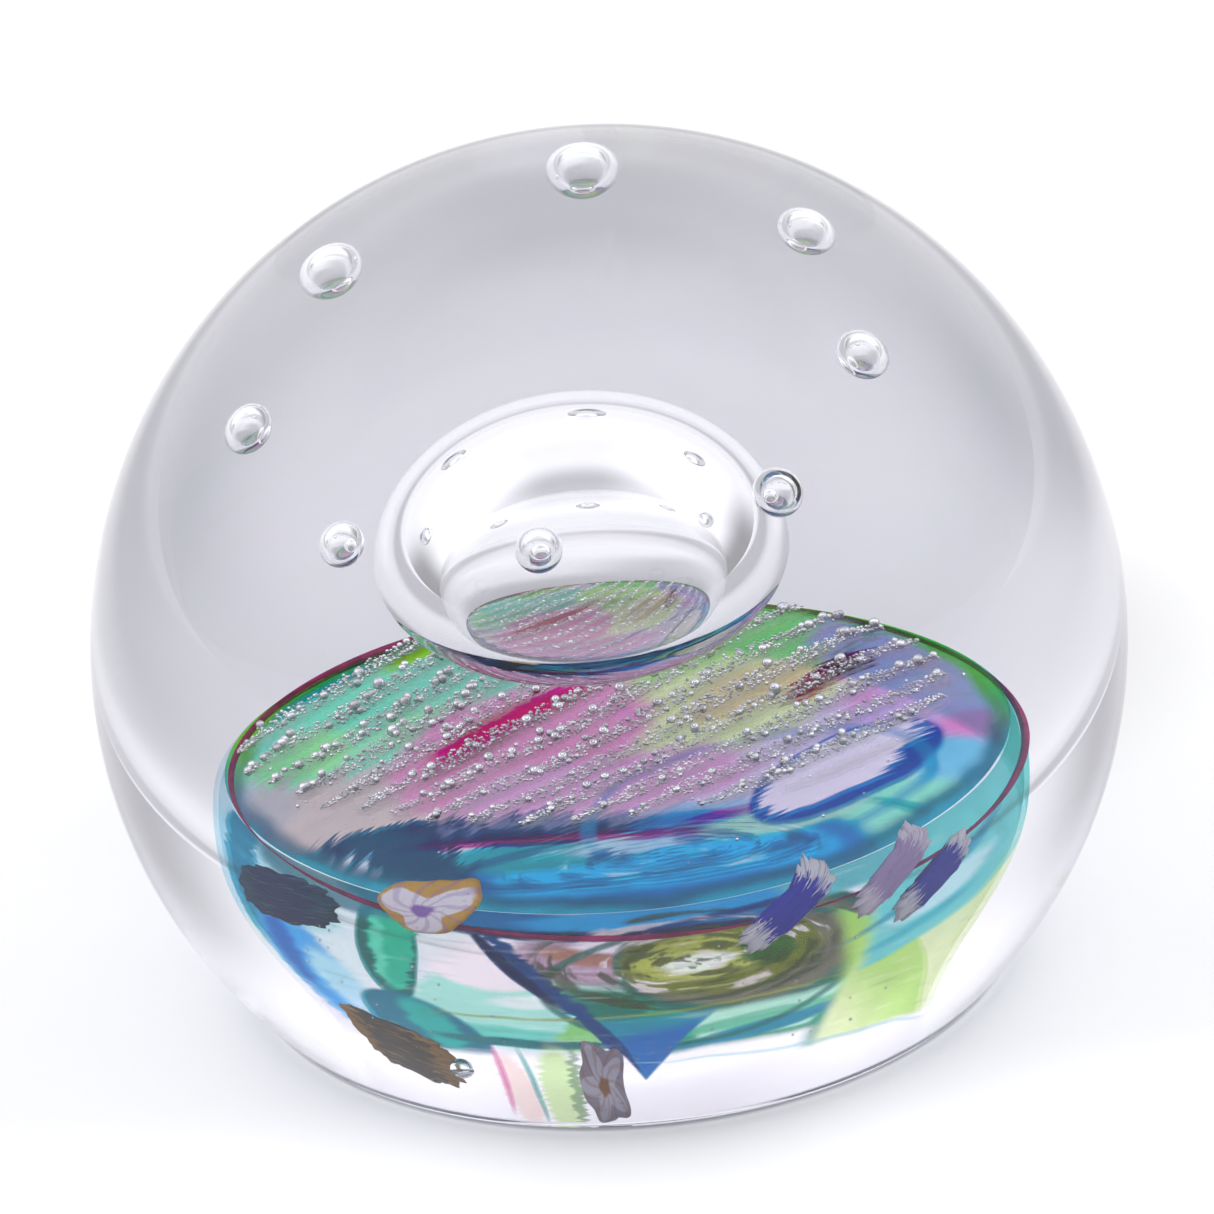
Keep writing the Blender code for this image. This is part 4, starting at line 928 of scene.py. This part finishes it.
def build_stage():
    scene = bpy.context.scene
    mesh = bpy.data.meshes.new("floor")
    s, z = FLOOR_HALF, -FLOOR_GAP
    mesh.from_pydata([(-s, -s, z), (s, -s, z), (s, s, z), (-s, s, z)], [], [(0, 1, 2, 3)])
    floor = bpy.data.objects.new("floor", mesh)
    scene.collection.objects.link(floor)
    n = Net("floor_painted_light_and_shade")
    speck = n.noise(n.object_coords(), 60.0, 2.0, 0.5)
    pale = n.mix((0.86, 0.86, 0.865), (0.84, 0.84, 0.845), speck)
    plan = n.vmath("MULTIPLY", n.object_coords(), (1 / R, 1 / R, 0))
    wide = n.vmath("LENGTH", n.vmath("MULTIPLY", plan, (1.0, 0.42, 0)), out=1)
    # painted shade: the floor darkens away from the weight, most of all to the sides
    colour = n.mix(pale, (0.54, 0.54, 0.55), n.ramp(wide, 2.3, 4.0))
    # painted shadows: two darker patches on the floor behind the weight
    colour = n.mix(colour, (0.57, 0.57, 0.58), oval(n, plan, 0.0, 0.63, 0.88, 0.56, 0, 0.36))
    colour = n.mix(colour, (0.62, 0.62, 0.63), oval(n, plan, 0.62, 1.20, 0.50, 0.50, 0, 1.5))
    depth = n.node("ShaderNodeSeparateXYZ", plan).outputs[1]
    # painted light: the floor is painted whitest in front of the weight and straight behind it
    painted_light_pool = n.math("MULTIPLY", n.ramp(depth, 1.4, 2.2), n.ramp(wide, 2.4, 1.5))
    painted_light_ahead = n.math("MULTIPLY", n.ramp(depth, -0.5, -0.9), n.ramp(wide, 2.4, 1.5))
    painted_light_pool = n.math("MAXIMUM", painted_light_pool, painted_light_ahead)
    colour = n.mix(colour, (0.97, 0.97, 0.97), painted_light_pool)
    colour = n.mix(colour, (0.95, 0.95, 0.95), n.ramp(depth, 6.0, 14.0))
    floor.data.materials.append(n.done(n.node("ShaderNodeBsdfDiffuse", colour)))
    world = bpy.data.worlds.new("studio")
    scene.world = world
    world.use_nodes = True
    sky = Net.__new__(Net)
    sky.tree = world.node_tree
    sky.tree.nodes.clear()
    sky.out = sky.tree.nodes.new("ShaderNodeOutputWorld")
    around = sky.tree.nodes.new("ShaderNodeTexCoord").outputs["Generated"]
    way = sky.node("ShaderNodeSeparateXYZ", around)
    across, deep, up = way.outputs[0], way.outputs[1], way.outputs[2]
    # studio light: brighter overhead, soft white wall behind, dimmer flanks and front
    over = sky.ramp(up, 0.10, 0.58, 0.80, 1.75)
    high = sky.math("MULTIPLY", sky.ramp(up, 0.64, 0.80), sky.ramp(deep, 0.02, 0.20))
    over = sky.math("SUBTRACT", over, sky.math("MULTIPLY", high, 0.62))
    centre = both(sky, sky.ramp(sky.math("ABSOLUTE", across), 0.40, 0.10), sky.ramp(deep, 0.30, 0.60),
                  sky.ramp(up, 0.26, 0.42))
    over = sky.math("SUBTRACT", over, sky.math("MULTIPLY", centre, 0.42))
    low = sky.ramp(up, 0.30, 0.55, 1.0, 0.0)
    behind = sky.math("MULTIPLY", sky.ramp(deep, 0.45, 0.85), low)
    aside = sky.math("ABSOLUTE", sky.math("SUBTRACT", across, -0.06))
    flank = sky.math("MULTIPLY", sky.ramp(aside, 0.62, 0.88), sky.ramp(up, 0.14, 0.44, 1.0, 0.0))
    front = sky.ramp(deep, -0.15, -0.75)
    level = sky.math("ADD", over, sky.math("MULTIPLY", behind, 0.52))
    level = sky.math("SUBTRACT", level, sky.math("MULTIPLY", flank, 0.34))
    level = sky.math("MULTIPLY", level, sky.math("SUBTRACT", 1.0, sky.math("MULTIPLY", front, 0.50)))
    back = sky.node("ShaderNodeBackground", (1.0, 1.0, 1.005), level)
    sky.feed(sky.out.inputs["Surface"], back)
    cam = bpy.data.cameras.new("camera")
    holder = bpy.data.objects.new("camera", cam)
    scene.collection.objects.link(holder)
    back_dir = Vector((0, -math.cos(CAMERA_ELEVATION), math.sin(CAMERA_ELEVATION)))
    holder.location = Vector((0, 0, EQUATOR)) + back_dir * (CAMERA_DISTANCE * R)
    look = (-back_dir).to_track_quat("-Z", "Y")
    holder.rotation_euler = (look @ Quaternion((0, 0, 1), -CAMERA_ROLL)).to_euler()
    cam.sensor_width = SENSOR
    cam.lens = BALL_RADIUS * CAMERA_DISTANCE / IMAGE * SENSOR
    cam.shift_x = -(BALL_CENTRE[0] - IMAGE / 2) / IMAGE
    cam.shift_y = (BALL_CENTRE[1] - IMAGE / 2) / IMAGE
    cam.clip_start = 0.01
    cam.clip_end = 50.0
    scene.camera = holder
    scene.view_settings.view_transform = "Standard"
    scene.cycles.use_denoising = True
    scene.cycles.max_bounces = 28
    scene.cycles.transmission_bounces = 24
    scene.cycles.glossy_bounces = 12
    scene.cycles.diffuse_bounces = 4
    scene.cycles.transparent_max_bounces = 40
    scene.cycles.blur_glossy = 0.0


build_body()
build_jacket()
build_thread()
build_bands(foam_material())
build_canes()
build_stage()
